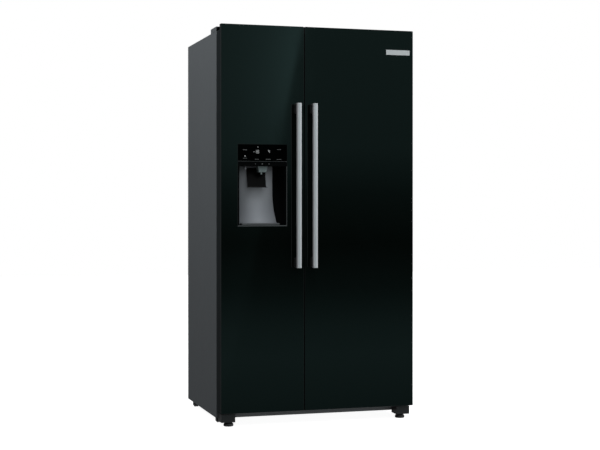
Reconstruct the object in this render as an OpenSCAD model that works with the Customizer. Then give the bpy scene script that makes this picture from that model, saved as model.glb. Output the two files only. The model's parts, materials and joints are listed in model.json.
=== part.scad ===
// Side by side refrigerator with an ice and water dispenser in the freezer door.
// +Z is up, the doors face -Y, +X is to the right seen from the front.
// The origin is on the floor, below the middle of the whole outline, handles included.

/* [Overall size] */
// Width over the cabinet sides
overall_w = 908; // [750:1:1100]
// Height to the top edge of the doors
overall_h = 1787; // [1480:1:2150]
// Depth from the door fronts to the back, handles not counted
overall_d = 707; // [585:1:850]

/* [Cabinet] */
// Height of the cabinet underside above the floor
base_z = 30; // [30:1:50]
// Step from the top edge of the doors down to the cabinet top
top_step = 22; // [21:0.5:30]
// Thickness of the steel sheet
sheet_t = 1.5; // [0.8:0.1:2.5]
// Thickness of the moulded plastic liners
liner_t = 2; // [1.5:0.1:3]
// Insulated wall beside the freezer
freezer_wall = 58; // [50:1:80]
// Insulated wall beside the fridge
fridge_wall = 50; // [45:1:80]
// Insulated wall between the two compartments
centre_wall = 62; // [50:1:90]
// Insulated wall above the compartments
top_wall = 55; // [40:1:80]
// Distance from the cabinet underside up to the compartment floors
floor_wall = 65; // [50:1:90]
// Insulated wall behind the compartments
back_wall = 72; // [50:1:90]
// Height of the machine compartment at the bottom of the back
machine_h = 255; // [240:1:300]
// Depth of the machine compartment
machine_d = 195; // [180:1:220]
// Insulation around the machine compartment
machine_wall = 42; // [30:1:60]

/* [Doors] */
// Width of the freezer door
freezer_door_w = 383.2; // [350:0.1:470]
// Gap between the two doors
door_gap = 4; // [3:0.5:8]
// Door thickness from the glass to the back of the steel skin
door_t = 79; // [66:1:95]
// Height of the door bottoms above the floor
door_z0 = 61; // [60:1:80]
// Thickness of the glass on the door fronts
glass_t = 4; // [3:0.5:6]
// Corner radius of the glass
glass_r = 4; // [1:0.5:10]
// Thickness of the strip along the door front that stands above the hinges
ridge_t = 28; // [20:1:28]
// Drop from the cabinet top to the back part of the door top
door_drop = 2; // [1.5:0.5:5]
// Width of the rubber seal
gasket_w = 16; // [12:1:16]
// Thickness of the rubber seal when closed, with its clearance
gasket_t = 12; // [8:1:16]
// Distance from a compartment's edge out to the seal
gasket_lap = 4; // [2:1:6]
// Clearance between two pieces that move past each other
clear = 0.3; // [0.2:0.1:1]

/* [Hinges] */
// Distance of each hinge axis from the cabinet side
hinge_in = 21; // [21:0.5:26]
// Distance of each hinge axis behind the door front
hinge_back = 45; // [45:0.5:50]
// Radius of the hinge pins
pin_r = 6; // [4:0.5:7]
// Radial clearance of a pin or shaft in its bore
pin_fit = 0.05; // [0.02:0.01:0.1]
// Wall of the hinge bushes
bush_wall = 4; // [3:0.5:5]
// Length of the hinge bushes
bush_len = 35; // [25:1:50]
// Thickness of the upper hinge plates
plate_t = 3; // [2:0.5:4]
// Radius of the hinge plates' screws
screw_r = 3; // [2:0.5:4]
// Height of the hinge covers
cover_h = 20; // [18:0.5:21]
// Length of the hinge covers over the cabinet
cover_len = 111; // [100:1:140]
// Width of the hinge covers
cover_w = 81; // [75:1:100]
// Wall of the hinge covers
cover_t = 2; // [1.5:0.5:3]

/* [Handles] */
// Length of the handle bars
handle_len = 736; // [400:1:900]
// Height of the handles' lower ends above the floor
handle_z0 = 704; // [500:1:800]
// Width of the handle bars
handle_w = 24; // [16:1:30]
// Thickness of the handle bars
handle_t = 14; // [10:1:20]
// Distance the handles stand in front of the doors
handle_proud = 50; // [40:1:65]
// Distance of each handle's middle from the middle of the door gap
handle_offset = 37.5; // [30:0.5:60]
// Length of the posts at the handle ends
post_len = 45; // [30:1:70]
// Width of the posts
post_w = 18; // [12:1:24]

/* [Badge] */
// Width of the blank badge
badge_w = 115; // [60:1:160]
// Height of the blank badge
badge_h = 23; // [12:1:40]
// Distance of the badge from the cabinet side
badge_side = 17; // [10:1:60]
// Distance from the door top down to the badge
badge_drop = 90; // [40:1:200]
// Thickness of the badge
badge_t = 1.5; // [1:0.5:3]

/* [Dispenser] */
// Width of the dispenser
disp_w = 226; // [200:1:240]
// Height of the dispenser
disp_h = 364; // [330:1:400]
// Distance of the dispenser from the cabinet side
disp_side = 77; // [70:1:90]
// Distance of the dispenser's upper edge below the top edge of the door
disp_drop = 532; // [473:1:623]
// Height of the glass control panel
panel_h = 75; // [60:1:90]
// Height of the strip under the control panel
strip_h = 22; // [15:1:30]
// Width of the frame around the recess
recess_rim = 6; // [4:1:10]
// Wall of the dispenser housing behind the recess
recess_wall = 4; // [3:0.5:12]
// Depth of the recess at its bottom
recess_low_d = 46; // [40:1:60]
// Height over which the recess curves forward
recess_curve = 153; // [100:1:170]
// How far the recess narrows on its hinge side
recess_in_left = 18; // [5:1:30]
// How far the recess narrows on its handle side
recess_in_right = 43; // [20:1:50]
// Radius of the ice chute
chute_r = 18; // [14:0.5:18]
// Wall thickness of the ice chute's duct through the insulation
chute_wall = 2; // [1:0.5:3]
// Distance of the chute outlet ahead of the back of the recess
outlet_back = 37; // [34:1:40]
// Offset of the outlet from the middle of the dispenser
outlet_x = 5; // [-5:1:10]
// Slope of the ice chute
chute_slope = 45; // [40:1:50]
// Width of the paddle
paddle_w = 86; // [60:1:90]
// Height of the paddle from its pivot
paddle_h = 89; // [60:1:100]
// Forward lean of the paddle
paddle_lean = 14; // [8:1:15]

/* [Feet and rollers] */
// Radius of the levelling feet
foot_r = 22; // [16:1:24]
// Distance of the feet from the cabinet sides
foot_in = 46; // [44:1:50]
// Distance of the feet behind the door front
foot_back = 50; // [48:1:54]
// Radius of the feet's screws
foot_screw_r = 5; // [4:0.5:6]
// Height of the feet's discs
foot_h = 14; // [10:1:16]
// Radius of the rear rollers
rear_roller_r = 13.5; // [12:0.5:13.5]
// Radius of the front rollers
front_roller_r = 12.5; // [11:0.5:12.5]
// Height of the front rollers above the floor
front_roller_lift = 2; // [1:0.5:2]
// Width of the rollers
roller_w = 20; // [14:1:22]
// Distance of the rollers' middle from the cabinet side
roller_in = 26; // [22:1:40]
// Distance of the front rollers behind the cabinet front
front_roller_y = 60; // [40:1:120]
// Distance of the rear rollers from the back
rear_roller_y = 67; // [30:1:120]
// Radius of the roller axles
axle_r = 3; // [2:0.5:4]

/* [Inside] */
// Distance of the shelf fronts behind the cabinet front
shelf_in = 109; // [104:1:140]
// Distance of the drawer fronts behind the cabinet front
drawer_in = 149; // [145:1:170]
// Number of shelves in the fridge
fridge_shelf_n = 5; // [3:1:6]
// Number of shelves in the freezer
freezer_shelf_n = 3; // [2:1:4]
// Thickness of the glass shelves
shelf_t = 5; // [4:0.5:8]
// Height of the lower drawers
low_drawer_h = 213; // [150:1:220]
// Height of the upper drawer
high_drawer_h = 165; // [120:1:200]
// Wall of the drawers and bins
bin_t = 3; // [2:0.5:4]
// Depth of the door bins from the back of the door liner
bin_d = 99; // [70:1:104]
// Height of the door bins
bin_h = 110; // [70:1:130]
// Distance of the ice bin's bottom below the middle of the chute's upper mouth
ice_below = 30; // [10:1:90]
// Height of the ice bin
ice_h = 220; // [160:1:260]

/* [Hidden] */
$fn = 64;
half_w = overall_w / 2;
// Planes from front to back
door_y = handle_proud - (overall_d + handle_proud) / 2;
door_back = door_y + door_t;
cab_y = door_back + gasket_t;
back_y = door_y + overall_d;
cavity_back = back_y - back_wall;
machine_y = back_y - machine_d;
low_back = machine_y - machine_wall;
// Heights
cab_top = overall_h - top_step;
door_top = cab_top - door_drop;
cavity_z0 = base_z + floor_wall;
cavity_top = cab_top - top_wall;
machine_top = base_z + machine_h;
step_z = machine_top + machine_wall + sheet_t + 1.5;
// Edges across the width
split_x = -half_w + freezer_door_w + door_gap / 2;
freezer_x0 = -half_w + freezer_wall;
freezer_x1 = split_x - centre_wall / 2;
fridge_x0 = split_x + centre_wall / 2;
fridge_x1 = half_w - fridge_wall;
freezer_door_x = [-half_w, split_x - door_gap / 2];
fridge_door_x = [split_x + door_gap / 2, half_w];
freezer_x = [freezer_x0, freezer_x1];
fridge_x = [fridge_x0, fridge_x1];
// Hinge axes, and the sides that face them
hinge_x = half_w - hinge_in;
hinge_y = door_y + hinge_back;
plate_screws = [[4, 16], [32, 16], [4, 76], [32, 76]];
arm_r = 12;
arm_w = 46;
arm_lap = 2;
plate_foot_x = -10;
plate_foot_d = 92;
// Inside fittings
shelf_y = cab_y + shelf_in;
drawer_y = cab_y + drawer_in;
ledge_w = 8;
ledge_h = 5;
freezer_duct_y = cavity_back - 72;
fridge_duct_y = cavity_back - 34;
duct_t = 3;
drawer_gap = 8;
low_drawer_z = cavity_z0 + 0.5;
high_drawer_z = step_z + ledge_h + clear;
first_shelf_z = high_drawer_z + high_drawer_h + 12;
ice_side = 11;
ice_front = 124;
ice_x = [freezer_x0 + ice_side, freezer_x1 - ice_side];
ice_y = [cab_y + ice_front, freezer_duct_y - 8];
auger_r = 6;
function fridge_shelf_z(i) =
    first_shelf_z + i * (cavity_top - first_shelf_z) / fridge_shelf_n;
function freezer_shelf_z(i) =
    step_z + ledge_h + i * (ice_z - step_z - ledge_h) / freezer_shelf_n;
// Door linings and bins
dike_gap = 8;
dike_t = 14;
dike_d = 46;
bulge_d = 49;
bulge_reach = 31;
bin_side = 2;
bin_free = 34;
// Dispenser
disp_x0 = -half_w + disp_side;
disp_x1 = disp_x0 + disp_w;
disp_z1 = overall_h - disp_drop;
disp_z0 = disp_z1 - disp_h;
recess_x0 = disp_x0 + recess_rim;
recess_x1 = disp_x1 - recess_rim;
recess_z0 = disp_z0 + recess_rim;
recess_z1 = disp_z1 - panel_h - strip_h;
housing_d = door_t - liner_t - 1;
recess_d = housing_d - recess_wall;
chute_x = (disp_x0 + disp_x1) / 2 + outlet_x;
chute_y = door_y + recess_d - outlet_back;
bulge_y = door_back + bulge_d;
mouth_z = recess_z1 + (bulge_y - chute_y) * tan(chute_slope);
ice_z = mouth_z - ice_below;
auger_z = ice_z + 75;
flap_r = chute_r + 4;
flap_y = bulge_y + 3;
flap_z = mouth_z + chute_r / cos(chute_slope) + 6;
panel_t = 3;
paddle_t = 4;
paddle_x = (disp_x0 + disp_x1) / 2 - 15;
paddle_y = door_y + recess_d - 6;
paddle_z = recess_z1 - 8;
paddle_pin_r = 2.5;
flap_pin_r = 2;
// Feet, brackets and rollers
handle_r = 2.5;
foot_x = half_w - foot_in;
foot_y = door_y + foot_back;
shoe_t = 6;
shoe_top = door_z0 - 6;
shoe_z0 = foot_h + 5;
shoe_in = 71;
roller_x = half_w - roller_in;
axle_fit = axle_r + pin_fit;
// Machine compartment
coil_x0 = -half_w + 96;
coil_x1 = coil_x0 + 284;
cool_fan_x = coil_x1 + 30;
fan_z = step_z + 380;
cold_fan_x = (freezer_x0 + freezer_x1) / 2 + 62;
cold_hub_y = freezer_duct_y + 22;
cool_z = base_z + 130;
cool_y = (machine_y + back_y) / 2;
shaft_r = 2.5;
gland_r = 4.2;
gland_wall = 4;
valve_x = -half_w + 46;
valve_z = base_z + 75;
valve_r = 13.2;
gland_x = half_w - 74;
gland_z = base_z + 80;

// ---- Shapes used by several parts ----

// A block between two opposite corners
module span(a, b) {
    translate(a) cube(b - a);
}

// A ring of four walls round an opening, through the whole depth
module frame(x, y, z, wall) {
    difference() {
        span([x[0], y[0], z[0]], [x[1], y[1], z[1]]);
        span([x[0] + wall, y[0] - 1, z[0] + wall], [x[1] - wall, y[1] + 1, z[1] - wall]);
    }
}

// An open-topped box
module tray(x, y, z, wall) {
    difference() {
        span([x[0], y[0], z[0]], [x[1], y[1], z[1]]);
        span([x[0] + wall, y[0] + wall, z[0] + wall], [x[1] - wall, y[1] - wall, z[1] + 1]);
    }
}

// A side outline in the YZ plane carried along X
module along_x(x0, x1) {
    translate([x0, 0, 0]) rotate([90, 0, 90]) linear_extrude(x1 - x0) children();
}

// A front outline in the XZ plane carried along Y
module along_y(y0, y1) {
    translate([0, y1, 0]) rotate([90, 0, 0]) linear_extrude(y1 - y0) children();
}

// A rectangle with round corners between two corners
module round_rect(a, b, r) {
    union() {
        translate([a[0] + r, a[1]]) square([b[0] - a[0] - 2 * r, b[1] - a[1]]);
        translate([a[0], a[1] + r]) square([b[0] - a[0], b[1] - a[1] - 2 * r]);
        for (x = [a[0] + r, b[0] - r], y = [a[1] + r, b[1] - r]) translate([x, y]) circle(r);
    }
}

// A cylinder along X or Y
module rod_x(x0, x1, y, z, r) {
    translate([x0, y, z]) rotate([0, 90, 0]) cylinder(h = x1 - x0, r = r);
}

module rod_y(y0, y1, x, z, r) {
    translate([x, y0, z]) rotate([-90, 0, 0]) cylinder(h = y1 - y0, r = r);
}

// The same shape on the left and the right
module both_sides() {
    children();
    mirror([1, 0, 0]) children();
}

// A bladed fan round the Z axis
module fan(hub_r, tip_r, hub_h, blades) {
    difference() {
        union() {
            cylinder(h = hub_h, r = hub_r);
            for (i = [0:blades - 1]) {
                rotate([0, 0, i * 360 / blades]) translate([hub_r - 2, 0, hub_h / 2])
                    rotate([32, 0, 0]) translate([0, -hub_r * 0.7, -1])
                        cube([tip_r - hub_r + 2, hub_r * 1.4, 2]);
            }
        }
        translate([0, 0, -1]) cylinder(h = hub_h + 2, r = shaft_r + pin_fit);
    }
}

// ---- Cabinet ----

// Inside space of a compartment, grown on every side but the front
module cavity(x, grow) {
    span([x[0] - grow, cab_y - 1, step_z - grow], [x[1] + grow, cavity_back + grow, cavity_top + grow]);
    span([x[0] - grow, cab_y - 1, cavity_z0 - grow], [x[1] + grow, low_back + grow, cavity_top + grow]);
}

// The fixing holes of the upper hinge plates
module hinge_screw_rods(z0, z1, r) {
    both_sides() for (at = plate_screws) {
        translate([-hinge_x + at[0], cab_y + at[1], z0]) cylinder(h = z1 - z0, r = r);
    }
}

module outer_shell() {
    color("#4a4c4d")
    difference() {
        span([-half_w, cab_y, base_z], [half_w, back_y - sheet_t, cab_top]);
        span(
            [-half_w + sheet_t, cab_y + sheet_t, base_z - 1],
            [half_w - sheet_t, back_y, cab_top - sheet_t]
        );
        // The front stays as a folded frame round the compartments
        span(
            [freezer_x0 - liner_t, cab_y - 1, base_z - 1],
            [fridge_x1 + liner_t, cab_y + sheet_t + 1, cavity_top + liner_t]
        );
        hinge_screw_rods(cab_top - sheet_t - 1, cab_top + 1, screw_r + pin_fit);
    }
}

module rear_panel() {
    color("#5b5e60")
    span([-half_w, back_y - sheet_t, machine_top], [half_w, back_y, cab_top]);
}

module base_plate() {
    x = half_w - sheet_t;
    color("#6d7072")
    union() {
        span([-x, cab_y + sheet_t, base_z], [x, back_y - sheet_t, base_z + sheet_t]);
        // Front lip below the compartments
        span(
            [freezer_x0 - liner_t, cab_y, base_z],
            [fridge_x1 + liner_t, cab_y + sheet_t, cavity_z0 - liner_t]
        );
        // Wall and roof of the machine compartment
        span([-x, machine_y - sheet_t, base_z], [x, machine_y, machine_top]);
        span([-x, machine_y - sheet_t, machine_top - sheet_t], [x, back_y - sheet_t, machine_top]);
    }
}

module insulation() {
    x = half_w - sheet_t;
    color("#e8dfae")
    difference() {
        span(
            [-x, cab_y + sheet_t, base_z + sheet_t],
            [x, back_y - sheet_t, cab_top - sheet_t]
        );
        span([-x - 1, machine_y - sheet_t, base_z], [x + 1, back_y, machine_top]);
        cavity(freezer_x, liner_t);
        cavity(fridge_x, liner_t);
    }
}

module centre_rail() {
    color("#6d7072")
    span(
        [freezer_x1 + liner_t, cab_y, cavity_z0 - liner_t],
        [fridge_x0 - liner_t, cab_y + sheet_t, cavity_top + liner_t]
    );
}

// A moulded lining with its side walls' ledges at the given heights
module liner(x, ledges, ledge_back) {
    difference() {
        intersection() {
            cavity(x, liner_t);
            span([x[0] - liner_t, cab_y, base_z], [x[1] + liner_t, back_y, cab_top]);
        }
        cavity(x, 0);
    }
    for (z = ledges) {
        span([x[0], shelf_y, z - ledge_h], [x[0] + ledge_w, ledge_back, z]);
        span([x[1] - ledge_w, shelf_y, z - ledge_h], [x[1], ledge_back, z]);
    }
}

module freezer_liner() {
    shelves = [for (i = [0:freezer_shelf_n - 1]) freezer_shelf_z(i)];
    color("#f2f3f3")
    liner(freezer_x, concat(shelves, [ice_z]), freezer_duct_y);
}

module fridge_liner() {
    shelves = [for (i = [0:fridge_shelf_n - 1]) fridge_shelf_z(i)];
    color("#f2f3f3")
    liner(fridge_x, concat(shelves, [step_z + ledge_h]), fridge_duct_y - 4);
}

// Rows of slots through a cover, listed by their lowest height
module slots(x0, x1, y, z0, rows) {
    pitch = 12;
    slot_h = 5;
    reach = 5;
    for (i = [0:rows - 1]) {
        span([x0, y - reach, z0 + i * pitch], [x1, y + reach, z0 + i * pitch + slot_h]);
    }
}

module duct_covers() {
    fx = (freezer_x0 + freezer_x1) / 2;
    rx = (fridge_x0 + fridge_x1) / 2;
    fan_slots = 45;
    vent = 90;
    vent_rows = 4;
    motor_r = 14;
    arm = [4, 10];
    shaft_len = 22;
    column = 90;
    outlet = 50;
    column_z = first_shelf_z + 20;
    color("#e9ebec") {
        // Freezer: a flat cover in front of the evaporator, which carries the fan
        difference() {
            span([freezer_x0, freezer_duct_y, step_z], [freezer_x1, freezer_duct_y + duct_t, cavity_top]);
            slots(fx - fan_slots, fx + fan_slots, freezer_duct_y, fan_z - 40, 7);
            slots(fx - vent, fx + vent, freezer_duct_y, cavity_top - 80, vent_rows);
            slots(fx - vent, fx + vent, freezer_duct_y, step_z + 18, vent_rows);
        }
        rod_y(freezer_duct_y + duct_t, cold_hub_y, cold_fan_x, fan_z, motor_r);
        span(
            [cold_fan_x - 6, freezer_duct_y + arm[0], fan_z - 4],
            [freezer_x1, freezer_duct_y + arm[1], fan_z + 4]
        );
        rod_y(cold_hub_y, cold_hub_y + shaft_len, cold_fan_x, fan_z, shaft_r);
        // Fridge: a raised air column on the back wall
        difference() {
            span([rx - column, fridge_duct_y, column_z], [rx + column, cavity_back, cavity_top]);
            span(
                [rx - column + duct_t, fridge_duct_y + duct_t, column_z + duct_t],
                [rx + column - duct_t, cavity_back + 1, cavity_top + 1]
            );
            for (i = [1:fridge_shelf_n - 1]) {
                slots(rx - outlet, rx + outlet, fridge_duct_y, fridge_shelf_z(i) + 40, 3);
            }
        }
    }
}

module evaporator() {
    side = 26;
    fin_t = 2;
    coil_h = 230;
    tube_r = 4;
    tube_out = 8;
    tube_pitch = 45;
    x0 = freezer_x0 + side;
    x1 = freezer_x1 - side;
    z0 = step_z + 50;
    fins = 13;
    color("#b9bec2")
    union() {
        for (i = [0:fins - 1]) {
            x = x0 + i * (x1 - x0 - fin_t) / (fins - 1);
            deep = (i == 0 || i == fins - 1) ? cavity_back : cavity_back - 8;
            span([x, freezer_duct_y + 10, z0], [x + fin_t, deep, z0 + coil_h]);
        }
        for (i = [0:4], y = [26, 46]) {
            z = z0 + 25 + i * tube_pitch;
            rod_x(x0 - tube_out, x1 + tube_out, freezer_duct_y + y, z, tube_r);
        }
    }
}

module evaporator_fan() {
    color("#2d2f31")
    translate([cold_fan_x, cold_hub_y + 2, fan_z])
        rotate([-90, 0, 0]) fan(10, 44, 16, 5);
}

module compressor() {
    can_r = 76;
    can_h = 178;
    can_z = 18;
    round_r = 34;
    base_half = 72;
    foot_at = 60;
    foot_top = 12;
    base_t = 4;
    neck_r = 46;
    color("#1b1c1d")
    translate([half_w - 190, cool_y, base_z + sheet_t]) {
        // Welded can with rounded ends
        translate([0, 0, can_z]) rotate_extrude() intersection() {
            round_rect([-can_r, 0], [can_r, can_h], round_r);
            square([can_r, can_h]);
        }
        // Base with four rubber feet
        difference() {
            span([-base_half, -base_half, foot_top], [base_half, base_half, foot_top + base_t]);
            for (x = [-foot_at, foot_at], y = [-foot_at, foot_at]) {
                translate([x, y, foot_top - 2]) cylinder(h = base_t * 2, r = 4);
            }
        }
        translate([0, 0, foot_top + base_t]) cylinder(h = 12, r = neck_r);
        for (x = [-foot_at, foot_at], y = [-foot_at, foot_at]) {
            translate([x, y, 0]) cylinder(h = foot_top, r = 9);
        }
        rod_x(-112, -66, -18, 120, 4);
    }
}

module condenser() {
    floor_z = base_z + sheet_t;
    x0 = coil_x0;
    x1 = coil_x1;
    plate = 2;
    tube_r = 3;
    motor_r = 20;
    motor = [56, 88];
    bracket_t = 3;
    bracket_half = 22;
    shaft_x = 28;
    color("#26282a") {
        for (x = [x0, x1]) {
            span([x, machine_y + 18, floor_z], [x + plate, back_y - 20, machine_top - 40]);
        }
        for (i = [0:5], y = [40, 85, 130]) {
            rod_x(x0, x1 + plate, machine_y + y, floor_z + 30 + i * 30, tube_r);
        }
        // Bracket and motor of the cooling fan
        span(
            [x1 + motor[1], cool_y - bracket_half, floor_z],
            [x1 + motor[1] + bracket_t, cool_y + bracket_half, cool_z + 24]
        );
        rod_x(x1 + motor[0], x1 + motor[1], cool_y, cool_z, motor_r);
        rod_x(x1 + shaft_x, x1 + motor[0], cool_y, cool_z, shaft_r);
    }
}

module condenser_fan() {
    color("#3a3d40")
    translate([cool_fan_x, cool_y, cool_z]) rotate([0, 90, 0]) fan(16, 72, 22, 5);
}

module drip_pan() {
    pan_h = 16;
    pan_wall = 2;
    floor_z = base_z + sheet_t;
    color("#15181a")
    tray(
        [coil_x0 + 12, coil_x1 - 10],
        [machine_y + 12, back_y - 16],
        [floor_z, floor_z + pan_h],
        pan_wall
    );
}

module compressor_cover() {
    groups = 3;
    group_w = 170;
    pitch = 14;
    slot_w = 6;
    slot_h = 60;
    reach = 5;
    color("#2b2d2f")
    difference() {
        span([-half_w, back_y - sheet_t, base_z], [half_w, back_y, machine_top]);
        // Three groups of air slots
        for (g = [0:groups - 1], i = [0:10], z = [70, 150]) {
            x = -group_w * groups / 2 + g * group_w + i * pitch;
            span([x, back_y - reach, base_z + z], [x + slot_w, back_y + 1, base_z + z + slot_h]);
        }
        rod_y(back_y - reach, back_y + 1, gland_x, gland_z, gland_r + gland_wall);
        rod_y(back_y - reach, back_y + 1, valve_x, valve_z, valve_r + 6);
    }
}

module cord_gland() {
    gland_len = 16;
    flange_t = 3;
    color("#101112")
    difference() {
        union() {
            rod_y(back_y - gland_len, back_y, gland_x, gland_z, gland_r + gland_wall);
            rod_y(
                back_y - sheet_t - flange_t, back_y - sheet_t,
                gland_x, gland_z, gland_r + gland_wall * 2
            );
        }
        rod_y(back_y - gland_len - 1, back_y + 1, gland_x, gland_z, gland_r);
    }
}

module water_valve() {
    body = 22;
    body_h = 20;
    body_y = [back_y - 70, back_y - 22];
    leg = 5;
    coil_h = 34;
    coil_r = 14;
    bore_r = 8;
    color("#d9dcde")
    difference() {
        union() {
            span(
                [valve_x - body, body_y[0], valve_z - body_h],
                [valve_x + body, body_y[1], valve_z + body_h]
            );
            span(
                [valve_x - leg, body_y[0] + 10, base_z + sheet_t],
                [valve_x + leg, body_y[1] - 8, valve_z - body_h]
            );
            translate([valve_x, back_y - 46, valve_z + body_h]) cylinder(h = coil_h, r = coil_r);
            rod_y(body_y[1], back_y - 4, valve_x, valve_z, valve_r);
        }
        rod_y(body_y[1] + 4, back_y, valve_x, valve_z, bore_r);
    }
}

// ---- Hinges ----

// Plan of an upper hinge plate: a tongue over the door and a foot on the cabinet
module upper_plate(grow, foot_x0, foot_x1, foot_y1) {
    front = cab_y - hinge_y;
    circle(arm_r + grow);
    translate([-grow, -arm_r - grow])
        square([arm_w + 2 * grow, arm_r + front + arm_lap + 2 * grow]);
    translate([foot_x0, front + clear]) square([foot_x1 - foot_x0, foot_y1]);
}

module hinge_brackets() {
    shoe_x0 = -half_w + 8;
    shoe_x1 = -half_w + shoe_in;
    shoe_y0 = door_y + 25;
    pin_lap = 5;
    side_t = 4;
    lip_t = 3;
    web_z = shoe_top - shoe_t + 1;
    color("#1d1e1f")
    both_sides() {
        // Upper plate and its pin
        difference() {
            union() {
                translate([-hinge_x, hinge_y, cab_top]) linear_extrude(plate_t)
                    upper_plate(0, plate_foot_x, arm_w, plate_foot_d);
                translate([-hinge_x, hinge_y, door_top - bush_len + pin_lap])
                    cylinder(h = cab_top + plate_t - door_top + bush_len - pin_lap, r = pin_r);
            }
            for (at = plate_screws) translate([-hinge_x + at[0], cab_y + at[1], cab_top - 1])
                cylinder(h = plate_t + 2, r = screw_r + pin_fit);
        }
        // Lower shoe, which carries the door and the levelling foot
        difference() {
            union() {
                span([shoe_x0, shoe_y0, shoe_top - shoe_t], [shoe_x1, cab_y, shoe_top]);
                for (x = [shoe_x0, shoe_x1 - side_t]) {
                    span([x, shoe_y0, shoe_z0], [x + side_t, cab_y, web_z]);
                }
                span([shoe_x0, shoe_y0, shoe_z0], [shoe_x1, shoe_y0 + lip_t, web_z]);
                span([shoe_x0, cab_y - lip_t, base_z], [shoe_x1, cab_y, shoe_top]);
                translate([-hinge_x, hinge_y, shoe_top - 1])
                    cylinder(h = door_z0 - shoe_top + 1 - clear, r = pin_r + 3);
                translate([-hinge_x, hinge_y, shoe_top - 1]) cylinder(h = bush_len, r = pin_r);
            }
            translate([-foot_x, foot_y, shoe_z0]) cylinder(h = shoe_top, r = foot_screw_r + pin_fit);
        }
    }
}

module hinge_covers() {
    inner_z = cab_top + cover_h - cover_t;
    color("#47494a")
    both_sides() translate([-hinge_x, hinge_y, 0]) difference() {
        translate([0, 0, cab_top]) linear_extrude(cover_h) {
            upper_plate(cover_t + clear, -hinge_in, cover_w - hinge_in, cover_len);
        }
        translate([0, 0, cab_top - 1]) linear_extrude(inner_z - cab_top + 1) {
            upper_plate(
                clear,
                cover_t - hinge_in,
                cover_w - hinge_in - cover_t,
                cover_len - cover_t
            );
        }
    }
}

module hinge_screws() {
    color("#8d9296") {
        hinge_screw_rods(cab_top - sheet_t, cab_top + plate_t, screw_r);
        hinge_screw_rods(cab_top + plate_t, cab_top + plate_t + 3, screw_r * 2);
    }
}

// ---- Feet and rollers ----

module roller_brackets() {
    half = roller_w / 2 + 1;
    cheek_t = 2;
    cheek = 14;
    below = 7;
    color("#222425")
    both_sides() for (y = [[cab_y + front_roller_y, front_roller_r + front_roller_lift],
                           [back_y - rear_roller_y, rear_roller_r]]) {
        for (x = [-roller_x - half - cheek_t, -roller_x + half]) {
            span([x, y[0] - cheek, y[1] - below], [x + cheek_t, y[0] + cheek, base_z]);
        }
        rod_x(-roller_x - half - cheek_t, -roller_x + half + cheek_t, y[0], y[1], axle_r);
    }
}

// A wheel with a grooved tread, round its own axle
module roller(x, y, r, lift) {
    color("#303234")
    difference() {
        union() {
            rod_x(x - roller_w / 2, x + roller_w / 2, y, r + lift, r - 1);
            for (side = [-roller_w / 2, 2]) {
                rod_x(x + side, x + side + roller_w / 2 - 2, y, r + lift, r);
            }
        }
        rod_x(x - roller_w, x + roller_w, y, r + lift, axle_fit);
    }
}

module roller_front_left() {
    roller(-roller_x, cab_y + front_roller_y, front_roller_r, front_roller_lift);
}

module roller_front_right() {
    roller(roller_x, cab_y + front_roller_y, front_roller_r, front_roller_lift);
}

module roller_rear_left() {
    roller(-roller_x, back_y - rear_roller_y, rear_roller_r, 0);
}

module roller_rear_right() {
    roller(roller_x, back_y - rear_roller_y, rear_roller_r, 0);
}

module foot(x) {
    cone_h = 3;
    nut_h = 9;
    color("#18191a")
    translate([x, foot_y, 0]) {
        cylinder(h = foot_h, r = foot_r);
        translate([0, 0, foot_h]) cylinder(h = cone_h, r1 = foot_r, r2 = foot_r - 6);
        translate([0, 0, foot_h + cone_h]) cylinder(h = nut_h, r = foot_screw_r * 2.2, $fn = 6);
        translate([0, 0, foot_h]) cylinder(h = shoe_top + 2 - foot_h, r = foot_screw_r);
    }
}

module foot_left() { foot(-foot_x); }
module foot_right() { foot(foot_x); }

// ---- Inside fittings ----

// A glass shelf on its ledges, with a front trim that hangs down between them
module shelf(x, y1, z) {
    span([x[0] + 1, shelf_y, z], [x[1] - 1, y1, z + shelf_t]);
    span(
        [x[0] + ledge_w + 1, shelf_y, z - ledge_h],
        [x[1] - ledge_w - 1, shelf_y + 10, z + 1]
    );
}

module freezer_shelves() {
    color("#dfe8ea")
    for (i = [0:freezer_shelf_n - 1]) shelf(freezer_x, freezer_duct_y - 3, freezer_shelf_z(i));
}

module fridge_shelves() {
    color("#dfe8ea")
    for (i = [0:fridge_shelf_n - 1]) shelf(fridge_x, fridge_duct_y - 5, fridge_shelf_z(i));
}

// A drawer with a lip to pull it by
module drawer(x, y1, z, h) {
    x0 = x[0] + drawer_gap;
    x1 = x[1] - drawer_gap;
    lip_d = 10;
    lip_z = z + h - 34;
    lip_t = 4;
    grip_t = 3;
    grip_h = 18;
    color("#d3e0e4") {
        tray([x0, x1], [drawer_y, y1], [z, z + h], bin_t);
        span([x0, drawer_y - lip_d, lip_z], [x1, drawer_y, lip_z + lip_t]);
        span(
            [x0, drawer_y - lip_d, lip_z + lip_t],
            [x1, drawer_y - lip_d + grip_t, lip_z + lip_t + grip_h]
        );
    }
}

module freezer_drawer() { drawer(freezer_x, low_back - 6, low_drawer_z, low_drawer_h); }
module crisper_lower() { drawer(fridge_x, low_back - 6, low_drawer_z, low_drawer_h); }

module crisper_upper() {
    drawer([fridge_x0 - drawer_gap + 1, fridge_x1 + drawer_gap - 1],
        fridge_duct_y - 12, high_drawer_z, high_drawer_h);
}

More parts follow.
